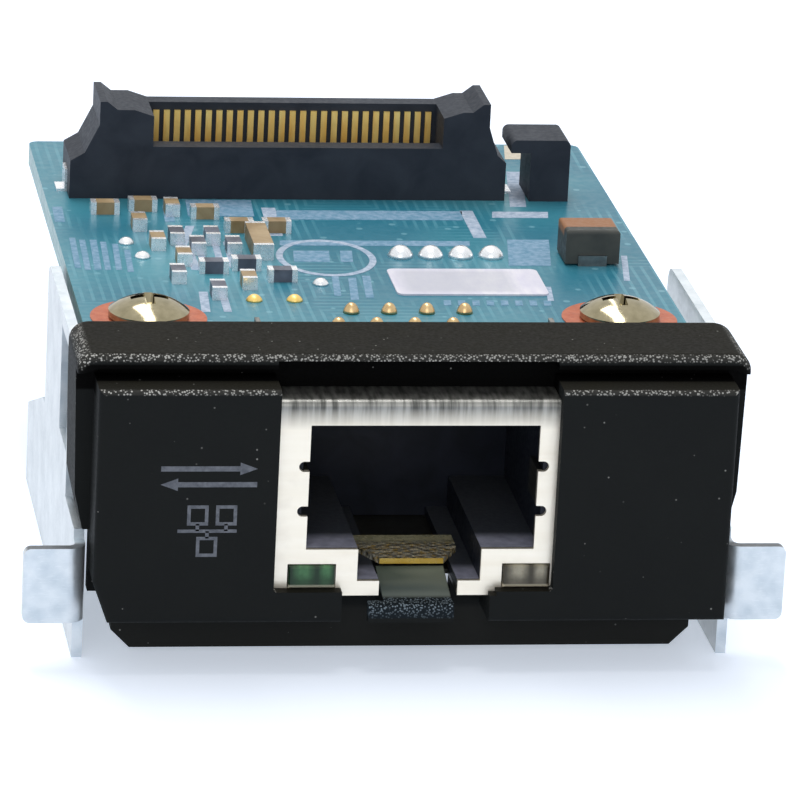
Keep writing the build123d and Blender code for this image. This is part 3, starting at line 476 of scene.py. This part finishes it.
def board_laminate():
    """Teal solder mask over faint tracks and vias, with a pale glass-fibre edge."""
    look = Look("board_laminate", Specular_IOR_Level=0.2, Coat_Weight=0.12, Coat_Roughness=0.2)
    lengthways = look.tracks(per_mm=0.55, turn=0.0)
    crossways = look.tracks(per_mm=0.55, turn=90.0)
    field = look.spread(look.cells(per_mm=0.16), 0.35, 0.4)
    line = look.mix(field, crossways, lengthways, "FLOAT")
    line = look.times(line, look.patches(per_mm=0.12, low=0.42, high=0.56))
    drift = look.patches(per_mm=0.09, detail=1.0, low=0.35, high=0.65)
    base = look.mix(drift, tint(42, 118, 141), tint(76, 150, 167))
    base = look.over(base, tint(96, 162, 180), line, share=0.5)
    via = look.spread(look.cells(per_mm=0.75, scatter=0.8), 0.12, 0.16, 1.0, 0.0)
    base = look.over(base, tint(128, 184, 200), via, share=0.5)
    layers = look.patches(per_mm=1.0, detail=3.0, stretch=(0.3, 0.3, 9.0), low=0.35, high=0.65)
    edge = look.mix(layers, tint(92, 146, 152), tint(142, 184, 182))
    look.colour(look.over(edge, base, look.square_to("Z", 0.4, 0.6)))
    look.worn(0.3, 0.44, per_mm=2.0)
    look.bump(line, strength=0.2, depth=0.03 * MM)
    look.bump(look.noise(per_mm=1.4, detail=3.0), strength=0.06, depth=0.05 * MM)
    return look.material


def shell_metal():
    """The shield can's tin plate: warm and pale, brushed, with painted shade: streaked dark at its
    upper bend, dark inside.
    """
    look = Look("shell_metal", Metallic=0.7, Specular_IOR_Level=0.5)
    band = look.patches(per_mm=0.9, detail=4.0, stretch=(0.2, 0.3, 2.0), low=0.2, high=0.8)
    base = look.mix(band, tint(242, 233, 215), tint(250, 243, 228))
    stain = look.patches(per_mm=0.8, detail=4.0, low=0.55, high=0.8)
    base = look.over(base, tint(226, 217, 202), stain, share=0.4)
    # Painted shade of the hood: the upper bend is darkened in streaks.
    shade_streaks = look.patches(per_mm=3.4, detail=3.0, stretch=(1.0, 0.2, 0.08), low=0.35, high=0.65)
    hood_shade = look.mix(shade_streaks, tint(80, 81, 78), tint(150, 150, 146))
    base = look.over(base, hood_shade, look.along("Z", SHELL_TOP - 1.6, SHELL_TOP - 0.4))
    # Painted shade: the shell is dark inside the jack's room.
    look.colour(look.over(base, tint(58, 58, 54), look.within(SHELL_INSIDE_SHADE)))
    look.worn(0.3, 0.45, per_mm=2.5, detail=3.0, stretch=(0.3, 0.3, 3.0))
    look.bump(look.noise(per_mm=6.0, stretch=(0.1, 0.3, 4.0)), strength=0.05, depth=0.03 * MM)
    return look.material


def moulding(name, first, second, smoothest, roughest, level=0.12):
    """A moulded plastic with soft flow marks and a fine grain, and the colour of its flats."""
    look = Look(name, Specular_IOR_Level=level)
    base = look.mix(look.patches(per_mm=0.5, detail=4.0, bend=0.6), first, second)
    look.colour(base)
    look.worn(smoothest, roughest, per_mm=4.0)
    look.bump(look.noise(per_mm=7.0), strength=0.1, depth=0.03 * MM)
    return look, base


def jack_plastic():
    """The jack's black insert, with painted light: greyer on its upward ledges, most of all just
    inside its mouth.
    """
    look, base = moulding("jack_plastic", tint(27, 30, 37), tint(38, 42, 53), 0.3, 0.44)
    # Painted light: upward faces are greyer, and lavender-pale just inside the mouth where outside
    # light falls.
    upward = look.facing("Z", 0.6, 0.9)
    mouth = look.along("Y", SHELL_FRONT + 1.6, SHELL_FRONT + 2.6, to_low=1.0, to_high=0.0)
    lit_ledge = look.mix(look.patches(per_mm=1.6, detail=3.0), tint(146, 148, 168), tint(180, 182, 202))
    base = look.over(base, tint(62, 66, 74), upward)
    look.colour(look.over(base, lit_ledge, look.times(upward, mouth)))
    return look.material


def plain_moulding(name, first, second, smoothest, roughest, **settings):
    """A moulded plastic of one kind all over."""
    look, _ = moulding(name, first, second, smoothest, roughest, **settings)
    return look.material


def plated_metal(
    name, first, second, smoothest=0.22, roughest=0.4, metallic=1.0, stretch=EVEN,
):
    """A plated or bare metal whose tone drifts a little over the surface."""
    look = Look(name, Metallic=metallic)
    look.colour(look.mix(look.patches(per_mm=1.8, detail=3.0, stretch=stretch), first, second))
    look.worn(smoothest, roughest, per_mm=4.5, detail=3.0)
    look.bump(look.noise(per_mm=4.0, stretch=stretch), strength=0.04, depth=0.03 * MM)
    return look.material


def lens_plastic(name, node, body, glow, rim, clearness):
    """A lens with two paler lobes where the light guides end, and a cream lower edge."""
    look = Look(name, Specular_IOR_Level=0.3, Transmission_Weight=clearness, IOR=1.49)
    (left, _, foot), (right, _, top) = ([level / MM for level in end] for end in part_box(node))
    across = look.along("X", left, right)
    lobes = 0.0
    for middle, half in LENS_LOBES:
        off = look.sums("ABSOLUTE", look.sums("SUBTRACT", across, middle))
        lobe = look.spread(off, LOBE_CORE_SHARE * half, LOBE_RIM_SHARE * half, 1.0, 0.0)
        lobes = look.sums("MAXIMUM", lobes, lobe)
    upper = look.along("Z", foot + 0.35 * (top - foot), foot + 0.65 * (top - foot))
    clouded = look.patches(per_mm=2.4, detail=3.0, high=0.6, to_low=0.6)
    lobes = look.times(lobes, clouded, look.spread(upper, 0.0, 1.0, 0.35, 1.0))
    base = look.over(body, glow, lobes)
    edge = look.along("Z", foot + 0.12, foot + 0.22, to_low=1.0, to_high=0.0)
    look.colour(look.over(base, rim, edge))
    look.worn(0.1, 0.24, per_mm=3.0)
    look.bump(look.noise(per_mm=2.0), strength=0.08, depth=0.04 * MM)
    return look.material


def amber_film():
    """Clear amber film: bright gold front edge, then specks where its rough back shows through."""
    look = Look("amber_film", Specular_IOR_Level=0.3, Transmission_Weight=0.2, IOR=1.5)
    speck = look.patches(per_mm=3.2, detail=4.0, low=0.4, high=0.54, roughness=0.65)
    specked = look.mix(speck, tint(196, 166, 96), tint(255, 251, 232))
    drift = look.patches(per_mm=0.8, low=0.35, high=0.65)
    smooth = look.mix(drift, tint(188, 184, 150), tint(212, 208, 172))
    back = look.along("Y", FILM_FRONT + 2.0, FILM_FRONT + 2.8)
    ahead = look.facing("Y", -0.9, -0.5, to_low=1.0, to_high=0.0)
    gilding = look.patches(per_mm=1.2, stretch=(0.3, 1.0, 1.0))
    rim = look.mix(gilding, tint(212, 168, 40), tint(255, 226, 120))
    look.colour(look.over(look.mix(back, specked, smooth), rim, ahead))
    grained = look.times(look.sums("SUBTRACT", 1.0, back), look.sums("SUBTRACT", 1.0, ahead))
    look.fill(look.shader.inputs["Metallic"], look.times(speck, grained, 0.6))
    look.worn(0.14, 0.4, per_mm=3.0, detail=3.0)
    look.bump(look.noise(per_mm=3.2, detail=4.0, roughness=0.7), strength=0.3, depth=0.05 * MM)
    look.bump(look.times(look.cells(per_mm=3.0), grained), strength=0.8, depth=0.25 * MM)
    return look.material


def sticker_paper():
    """Blank white label stock with a faint lilac cast, its fibre and painted shade of its folds,
    greyer inside its rim.
    """
    look = Look("sticker_paper", Specular_IOR_Level=0.4)
    fibre = look.patches(per_mm=3.0, detail=4.0, stretch=(1.0, 0.3, 1.0))
    base = look.mix(fibre, tint(226, 224, 240), tint(244, 242, 250))
    # Painted shade of the label's folds.
    fold_shade = look.patches(per_mm=0.35, stretch=(1.0, 0.4, 1.0), low=0.45, high=0.6)
    base = look.over(base, tint(204, 204, 224), fold_shade, share=0.5)
    low, high = ([level / MM for level in corner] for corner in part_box("label_sticker"))
    body = look.times(
        look.between("X", low[0] + 0.5, high[0] - 1.6, soft=0.4),
        look.between("Y", low[1] + 0.4, high[1] - 0.4, soft=0.3),
    )
    look.colour(look.over(base, tint(188, 192, 202), body, share=0.6))
    look.worn(0.34, 0.52, per_mm=2.0, detail=3.0)
    look.bump(look.noise(per_mm=5.0, detail=3.0), strength=0.08, depth=0.02 * MM)
    return look.material


def ink(name, first, second):
    """Screen-printed ink, thin in places."""
    look = Look(name, Specular_IOR_Level=0.15)
    thin = look.patches(per_mm=3.0, detail=4.0, low=0.35, high=0.65, roughness=0.65)
    look.colour(look.mix(thin, first, second))
    look.worn(0.5, 0.7, per_mm=5.0)
    return look.material


def block_body():
    """A dark moulded block with an orange-brown band along its rear upper edge."""
    look = Look("block_body", Specular_IOR_Level=0.15)
    base = look.mix(look.patches(per_mm=0.8, detail=3.0), tint(68, 71, 70), tint(84, 86, 82))
    (_, front, _), (_, back, top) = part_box("block_capacitor")
    band = look.between("Y", (back - 0.7 * (back - front)) / MM, back / MM + 1.0)
    upper = look.along("Z", top / MM - 0.6, top / MM - 0.4)
    look.colour(look.over(base, tint(158, 114, 84), look.times(band, upper)))
    look.worn(0.4, 0.6, per_mm=4.0)
    look.bump(look.noise(per_mm=6.0), strength=0.1, depth=0.03 * MM)
    return look.material


def floor_paper():
    """White ground that keeps the object's shadow and clips to white where it is clear of it."""
    look = Look("floor_paper", Specular_IOR_Level=0.1)
    look.colour(look.mix(look.patches(per_mm=0.02), tint(226, 234, 247), tint(231, 238, 250)))
    look.worn(0.8, 0.95, per_mm=0.05)
    glow = look.node("ShaderNodeEmission", {
        "Color": tint(233, 242, 255), "Strength": look.times(look.looked_at(), FLOOR_GLOW),
    })
    both = look.node("ShaderNodeAddShader", {
        0: look.shader.outputs["BSDF"], 1: glow.outputs["Emission"],
    })
    look.join(both.outputs["Shader"], look.tree.nodes["Material Output"].inputs["Surface"])
    return look.material


def add_object(name, data):
    """A new object in the scene."""
    made = bpy.data.objects.new(name, data)
    bpy.context.scene.collection.objects.link(made)
    return made


def piece(name, mesh, material, smooth=False):
    """A new piece on the card, in the row frame, with the material it is given."""
    made = add_object(name, mesh)
    mesh.materials.append(material)
    for face in mesh.polygons:
        face.use_smooth = smooth
    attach(made, "root")
    return made


def mesh_of(name, build):
    """The mesh that a function builds in an empty bmesh."""
    shape = bmesh.new()
    build(shape)
    bmesh.ops.recalc_face_normals(shape, faces=shape.faces)
    mesh = bpy.data.meshes.new(name)
    shape.to_mesh(mesh)
    shape.free()
    return mesh


def join_rings(shape, lower, upper):
    """The faces between two closed rings of as many points."""
    for index in range(len(lower)):
        follow = (index + 1) % len(lower)
        shape.faces.new((lower[index], upper[index], upper[follow], lower[follow]))


def slab(shape, corners, low, high, heading):
    """A closed slab between two levels along a heading, on an outline of plane points."""
    def at(point, level):
        if heading == "up":
            return Vector((point[0], point[1], level))
        return Vector((point[0], level, point[1]))
    lower = [shape.verts.new(at(point, low)) for point in corners]
    upper = [shape.verts.new(at(point, high)) for point in corners]
    shape.faces.new(lower)
    shape.faces.new(upper[::-1])
    join_rings(shape, lower, upper)


def bar(x, y, width, length, lean=0.0):
    """The four corners of a bar about a middle; lean moves its far end sideways."""
    half_x = width / 2
    half_y = length / 2
    return [
        (x - half_x - lean / 2, y - half_y), (x + half_x - lean / 2, y - half_y),
        (x + half_x + lean / 2, y + half_y), (x - half_x + lean / 2, y + half_y),
    ]


def ring(x, y, radius_x, radius_y, stroke, count):
    """The quadrilaterals of a flat ring."""
    quads = []
    for index in range(count):
        start = 2 * math.pi * index / count
        stop = 2 * math.pi * (index + 1) / count
        quads.append([
            (x + math.cos(turn) * (radius_x - inset), y + math.sin(turn) * (radius_y - inset))
            for turn, inset in ((start, 0), (stop, 0), (stop, stroke), (start, stroke))
        ])
    return quads


def frame_bars(x0, x1, y0, y1, stroke):
    """The four bars of a rectangular outline."""
    middle_x = (x0 + x1) / 2
    middle_y = (y0 + y1) / 2
    level = [bar(middle_x, y, x1 - x0 + stroke, stroke) for y in (y0, y1)]
    upright = [bar(x, middle_y, stroke, y1 - y0 - stroke) for x in (x0, x1)]
    return level + upright


def arrow(x, z, heading):
    """A level arrow: a thin shaft and a triangular head."""
    neck = x + heading * (ARROW_LENGTH / 2 - ARROW_HEAD)
    tail = x - heading * ARROW_LENGTH / 2
    tip = x + heading * ARROW_LENGTH / 2
    half = ARROW_STROKE / 2
    shaft = [(tail, z - half), (neck, z - half), (neck, z + half), (tail, z + half)]
    head = [(neck, z - ARROW_HEAD_HALF), (tip, z), (neck, z + ARROW_HEAD_HALF)]
    return [shaft, head]


def network_sign():
    """A generic network sign: two boxes over a line and one under it."""
    outlines = []
    upper = SIGN_Z + SIGN_RISE
    lower = SIGN_Z - SIGN_RISE
    half = SIGN_BOX / 2
    shift = SIGN_SPREAD / 4
    for x, z in ((SIGN_X - shift, upper), (SIGN_X + shift + half, upper), (SIGN_X, lower)):
        outlines += frame_bars(x - half, x + half, z - half, z + half, SIGN_STROKE)
        toward = -1 if z > SIGN_Z else 1
        middle = (z + toward * half + SIGN_Z) / 2
        outlines.append(bar(x, middle, SIGN_STROKE, abs(z - SIGN_Z) - half))
    outlines.append(bar(SIGN_X, SIGN_Z, SIGN_LINE, SIGN_STROKE))
    return outlines


def face_mark():
    """The two plain arrows and the small network sign printed on the face."""
    def build(shape):
        outlines = arrow(ARROW_X, ARROW_Z + ARROW_STEP / 2, 1)
        outlines += arrow(ARROW_X, ARROW_Z - ARROW_STEP / 2, -1)
        for outline in outlines + network_sign():
            corners = [(x * MM, z * MM) for x, z in outline]
            slab(shape, corners, FACE - LAYER, FACE + LAYER, "forward")
    return mesh_of("face_mark", build)


def board_silk(name, outlines, material):
    """Pale print on the board."""
    def build(shape):
        for index, outline in enumerate(outlines):
            corners = [(x * MM, FACE + y * MM) for x, y in outline]
            top = BOARD_TOP + SILK_LAYER + index * SILK_STEP
            slab(shape, corners, BOARD_TOP - LAYER, top, "up")
    return piece(name, mesh_of(name, build), material)


def bars(entries):
    """The outlines of the bars in a list."""
    return [bar(*entry) for entry in entries]


def board_ring():
    """The plain ring printed on the board."""
    return ring(RING_X, RING_Y, RING_HALF_WIDTH, RING_HALF_DEPTH, RING_STROKE, RING_STEPS)


def faint_row():
    """A level row of short faint bars."""
    return [
        (FAINT_ROW_X + index * FAINT_ROW_PITCH, FAINT_ROW_Y, *FAINT_ROW_BAR)
        for index in range(FAINT_ROW_COUNT)
    ]


def screw_head(name, node, material):
    """A domed screw head with a cross recess over its plain shank, on the node's own box."""
    low, high = (Vector(corner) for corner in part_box(node))
    washer_low, washer_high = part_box("screw_ring_left")
    middle = (low + high) / 2
    radius = (high.x - low.x) / 2
    seat = BOARD_TOP + washer_high[2] - washer_low[2]
    rise = high.z - seat
    rim = HEAD_RIM_SHARE * rise
    sphere = (radius ** 2 + (rise - rim) ** 2) / (2 * (rise - rim))
    chamfer = HEAD_CHAMFER_SHARE * radius
    shank = SHANK_SHARE * radius
    profile = [(0.0, low.z), (shank, low.z), (shank, seat), (radius - chamfer, seat)]
    profile += [(radius, seat + chamfer), (radius, seat + rim)]
    full = math.asin(min(1.0, radius / sphere))
    for index in range(1, DOME_RINGS + 1):
        turn = full * (1 - index / DOME_RINGS)
        profile.append((sphere * math.sin(turn), high.z - sphere * (1 - math.cos(turn))))

    def build(shape):
        spun = [shape.verts.new((x, 0, z)) for x, z in profile]
        edges = [shape.edges.new(pair) for pair in zip(spun, spun[1:])]
        bmesh.ops.spin(
            shape, geom=spun + edges, cent=(0, 0, 0), axis=(0, 0, 1), angle=2 * math.pi,
            steps=HEAD_STEPS, use_merge=True, use_duplicate=False,
        )
        bmesh.ops.remove_doubles(shape, verts=shape.verts, dist=MERGE_DISTANCE)

    made = piece(name, mesh_of(name, build), material, smooth=True)
    made.location = (middle.x, middle.y, 0)
    cut_recess(made, RECESS_SHARE * radius, high.z)
    return made


def cut_recess(head, reach, crown):
    """Cuts a cross with sloping ends into the crown."""
    top = (crown + RECESS_DEPTH, RECESS_TOP_SHARE, 1.0)
    floor = (crown - RECESS_DEPTH, RECESS_FLOOR_SHARE, RECESS_FLOOR_WIDTH_SHARE)

    def build(shape):
        for turn in (0.0, math.pi / 2):
            rings = []
            for level, share, width_share in (top, floor):
                half_x = reach * share
                half_y = RECESS_WIDTH / 2 * width_share
                spots = [
                    Vector((x * half_x, y * half_y, level))
                    for x, y in ((-1, -1), (1, -1), (1, 1), (-1, 1))
                ]
                around = Matrix.Rotation(turn, 3, "Z")
                rings.append([shape.verts.new(around @ spot) for spot in spots])
            shape.faces.new(rings[0])
            shape.faces.new(rings[1][::-1])
            join_rings(shape, *rings)

    tool = add_object("recess", mesh_of("recess", build))
    tool.location = head.location
    cut = head.modifiers.new("recess", "BOOLEAN")
    cut.operation = "DIFFERENCE"
    cut.solver = "EXACT"
    cut.use_self = True
    cut.object = tool
    bpy.context.view_layer.update()
    view = bpy.context.evaluated_depsgraph_get()
    done = bpy.data.meshes.new_from_object(head.evaluated_get(view))
    head.modifiers.clear()
    head.data = done
    bpy.data.objects.remove(tool)
    done.set_sharp_from_angle(angle=math.radians(SHARP_ANGLE))


def islands(mesh):
    """The separate pieces of a mesh, each as a list of its points."""
    shape = bmesh.new()
    shape.from_mesh(mesh)
    bmesh.ops.remove_doubles(shape, verts=shape.verts, dist=MERGE_DISTANCE)
    seen = set()
    found = []
    for first in shape.verts:
        if first in seen:
            continue
        seen.add(first)
        queue = [first]
        group = []
        while queue:
            vert = queue.pop()
            group.append(vert.co.copy())
            for edge in vert.link_edges:
                other = edge.other_vert(vert)
                if other not in seen:
                    seen.add(other)
                    queue.append(other)
        found.append(group)
    shape.free()
    return found


def footprints(node):
    """The middle and the half width of each separate solid of a node."""
    found = []
    for spots in islands(frame["nodes"][node].data):
        left, right = min(spot.x for spot in spots), max(spot.x for spot in spots)
        near, far = min(spot.y for spot in spots), max(spot.y for spot in spots)
        found.append(((left + right) / 2, (near + far) / 2, (right - left) / 2))
    return found


def drop(shape, x, y, profile):
    """A closed turned form about an upright axis, from its foot's rim to its crown."""
    turns = [2 * math.pi * step / SOLDER_STEPS for step in range(SOLDER_STEPS)]
    rings = [
        [
            shape.verts.new((x + radius * math.cos(turn), y + radius * math.sin(turn), level))
            for turn in turns
        ]
        for radius, level in profile[:-1]
    ]
    shape.faces.new(rings[0][::-1])
    for lower, upper in zip(rings, rings[1:]):
        join_rings(shape, lower, upper)
    crown = shape.verts.new((x, y, profile[-1][1]))
    for index, corner in enumerate(rings[-1]):
        shape.faces.new((corner, rings[-1][(index + 1) % SOLDER_STEPS], crown))


def add_drops(name, places, rise, material):
    """Rounded drops of solder on the board, one at each place."""
    def build(shape):
        for x, y, radius in places:
            profile = [(r * radius, BOARD_TOP + h * rise) for r, h in SOLDER_PROFILE]
            drop(shape, x, y, profile)
    return piece(name, mesh_of(name, build), material, smooth=True)


def add_solder(solder, warm_solder, gold):
    """The rounded joints over the jack's pins, and the low drops on the test pads."""
    joints = footprints("solder_joints")
    widest = max(radius for _, _, radius in joints)
    wide = [place for place in joints if place[2] > WIDE_JOINT_SHARE * widest]
    slim = [place for place in joints if place not in wide]
    light = add_drops("light_domes", wide, LIGHT_SOLDER_RISE, solder)
    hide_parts("solder_joints", "jack_pins")
    add_drops("signal_domes", slim, SIGNAL_SOLDER_RISE, warm_solder)
    pads = footprints("test_pads")
    golden = [place for place in pads if GOLD_PADS_FROM < place[0] < GOLD_PADS_TO]
    bright = [place for place in pads if place not in golden]
    golden_drops = add_drops("pad_drops_gold", golden, PAD_DROP_RISE, gold)
    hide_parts("test_pads")
    add_drops("pad_drops_bright", bright, PAD_DROP_RISE, solder)


def add_camera():
    """The camera at the photograph's viewing angle."""
    azimuth = math.radians(VIEW_AZIMUTH)
    elevation = math.radians(VIEW_ELEVATION)
    roll = math.radians(VIEW_ROLL)
    forward = Vector((
        math.sin(azimuth) * math.cos(elevation), math.cos(azimuth) * math.cos(elevation),
        -math.sin(elevation),
    ))
    level = Vector((math.cos(azimuth), -math.sin(azimuth), 0))
    upright = level.cross(forward)
    right = level * math.cos(roll) + upright * math.sin(roll)
    up = upright * math.cos(roll) - level * math.sin(roll)
    eye = Vector((VIEW_SIDE, FACE, VIEW_HEIGHT)) - forward * VIEW_DISTANCE
    data = bpy.data.cameras.new("camera")
    data.lens = LENS
    data.sensor_width = SENSOR
    data.sensor_fit = "HORIZONTAL"
    data.clip_start = VIEW_NEAR
    camera = add_object("camera", data)
    turn = Matrix((right, up, -forward)).transposed().to_4x4()
    camera.matrix_world = Matrix.Translation(eye) @ turn
    bpy.context.scene.camera = camera


def add_lamp(name, place, size, power, colour):
    """A soft box, so wide and so long, at a place and turned to the card."""
    data = bpy.data.lights.new(name, "AREA")
    data.shape = "RECTANGLE"
    data.size, data.size_y = size
    data.energy = power
    data.color = tint(*colour)[:3]
    lamp = add_object(name, data)
    lamp.location = place
    heading = Vector(LAMP_AIM) - Vector(place)
    lamp.rotation_euler = heading.to_track_quat("-Z", "Y").to_euler()


def add_world():
    """A soft surround that is white where the camera, a mirror or a lens looks at it."""
    world = bpy.data.worlds.new("surround")
    world.use_nodes = True
    bpy.context.scene.world = world
    nodes = Nodes(world.node_tree)
    back = world.node_tree.nodes["Background"]
    back.inputs["Color"].default_value = (1, 1, 1, 1)
    level = nodes.spread(nodes.looked_at(), 0.0, 1.0, SURROUND_LEVEL, 1.0)
    nodes.join(level, back.inputs["Strength"])


def add_stage():
    """The floor that the card rests on."""
    def build(shape):
        corners = [(-1, -1), (1, -1), (1, 1), (-1, 1)]
        spots = [(x * FLOOR_HALF, y * FLOOR_HALF, 0) for x, y in corners]
        shape.faces.new([shape.verts.new(spot) for spot in spots])
    mesh = mesh_of("floor", build)
    mesh.materials.append(floor_paper())
    add_object("floor", mesh)


finishes = {
    "bezel_plastic": bezel_plastic(),
    "galvanised_steel": galvanised_steel(),
    "board_laminate": board_laminate(),
    "shell_metal": shell_metal(),
    "jack_plastic": jack_plastic(),
    "gold_contact": plated_metal(
        "gold_contact", tint(252, 204, 108), tint(255, 228, 144), 0.3, 0.42,
        metallic=0.5, stretch=(1.0, 1.0, 0.2),
    ),
    "solder": plated_metal(
        "solder", tint(228, 232, 237), tint(250, 251, 253), 0.2, 0.36, metallic=0.65,
    ),
    "green_lens": lens_plastic(
        "green_lens", "status_lens_left",
        tint(17, 52, 28), tint(76, 128, 84), tint(206, 204, 182), clearness=0.1,
    ),
    "clear_lens": lens_plastic(
        "clear_lens", "status_lens_right",
        tint(74, 69, 56), tint(184, 177, 156), tint(226, 216, 190), clearness=0.15,
    ),
    "amber_film": amber_film(),
    "screw_metal": plated_metal(
        "screw_metal", tint(146, 138, 112), tint(168, 159, 132), 0.09, 0.15,
    ),
    "bare_copper": plated_metal(
        "bare_copper", tint(172, 86, 54), tint(192, 107, 72), 0.35, 0.5, metallic=0.4,
    ),
    "connector_plastic": plain_moulding(
        "connector_plastic", tint(43, 48, 57), tint(56, 61, 70), 0.45, 0.6,
    ),
    "block_body": block_body(),
    "tan_ceramic": plain_moulding(
        "tan_ceramic", tint(140, 116, 80), tint(182, 160, 126), 0.35, 0.5, level=0.3,
    ),
    "dark_ceramic": plain_moulding(
        "dark_ceramic", tint(56, 60, 72), tint(112, 118, 134), 0.3, 0.45, level=0.3,
    ),
    "sticker_paper": sticker_paper(),
    "chip_plastic": plain_moulding(
        "chip_plastic", tint(34, 35, 38), tint(48, 49, 52), 0.45, 0.6,
    ),
    "crystal_can": plated_metal("crystal_can", tint(190, 190, 188), tint(214, 214, 210)),
    "coil_body": plain_moulding("coil_body", tint(70, 70, 74), tint(96, 96, 100), 0.5, 0.65),
}
# The block's leads are duller than the solder whose slot they share, and the signal joints warmer.
lead_metal = plated_metal("lead_metal", tint(92, 98, 100), tint(124, 130, 132), 0.3, 0.45)
warm_solder = plated_metal(
    "signal_solder", tint(186, 156, 112), tint(212, 186, 140), 0.25, 0.4,
)
face_ink = ink("face_ink", tint(92, 96, 104), tint(118, 122, 130))
board_ink = ink("board_ink", tint(150, 172, 196), tint(196, 208, 226))
faint_ink = ink("faint_ink", tint(100, 146, 174), tint(144, 174, 200))
cream_ink = ink("cream_ink", tint(206, 198, 182), tint(226, 218, 202))

for entry in frame["record"]["subparts"]:
    node = entry["node"]
    finish = lead_metal if node == "block_leads" else finishes[entry["material_slot"]]
    for holder in frame["nodes"][node].material_slots:
        holder.material = finish

piece("face_mark", face_mark(), face_ink)
board_silk("board_silk", bars(SILK_BARS) + board_ring(), board_ink)
board_silk("board_silk_faint", bars(FAINT_BARS) + bars(faint_row()), faint_ink)
board_silk("board_silk_cream", bars(CREAM_BARS), cream_ink)
for side in ("left", "right"):
    head = screw_head("screw_head_" + side, "screw_" + side, finishes["screw_metal"])
    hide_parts("screw_" + side)
add_solder(finishes["solder"], warm_solder, finishes["gold_contact"])

add_camera()
add_world()
add_stage()
for lamp, settings in LAMPS.items():
    add_lamp(lamp, *settings)

bpy.context.scene.view_settings.view_transform = "Standard"
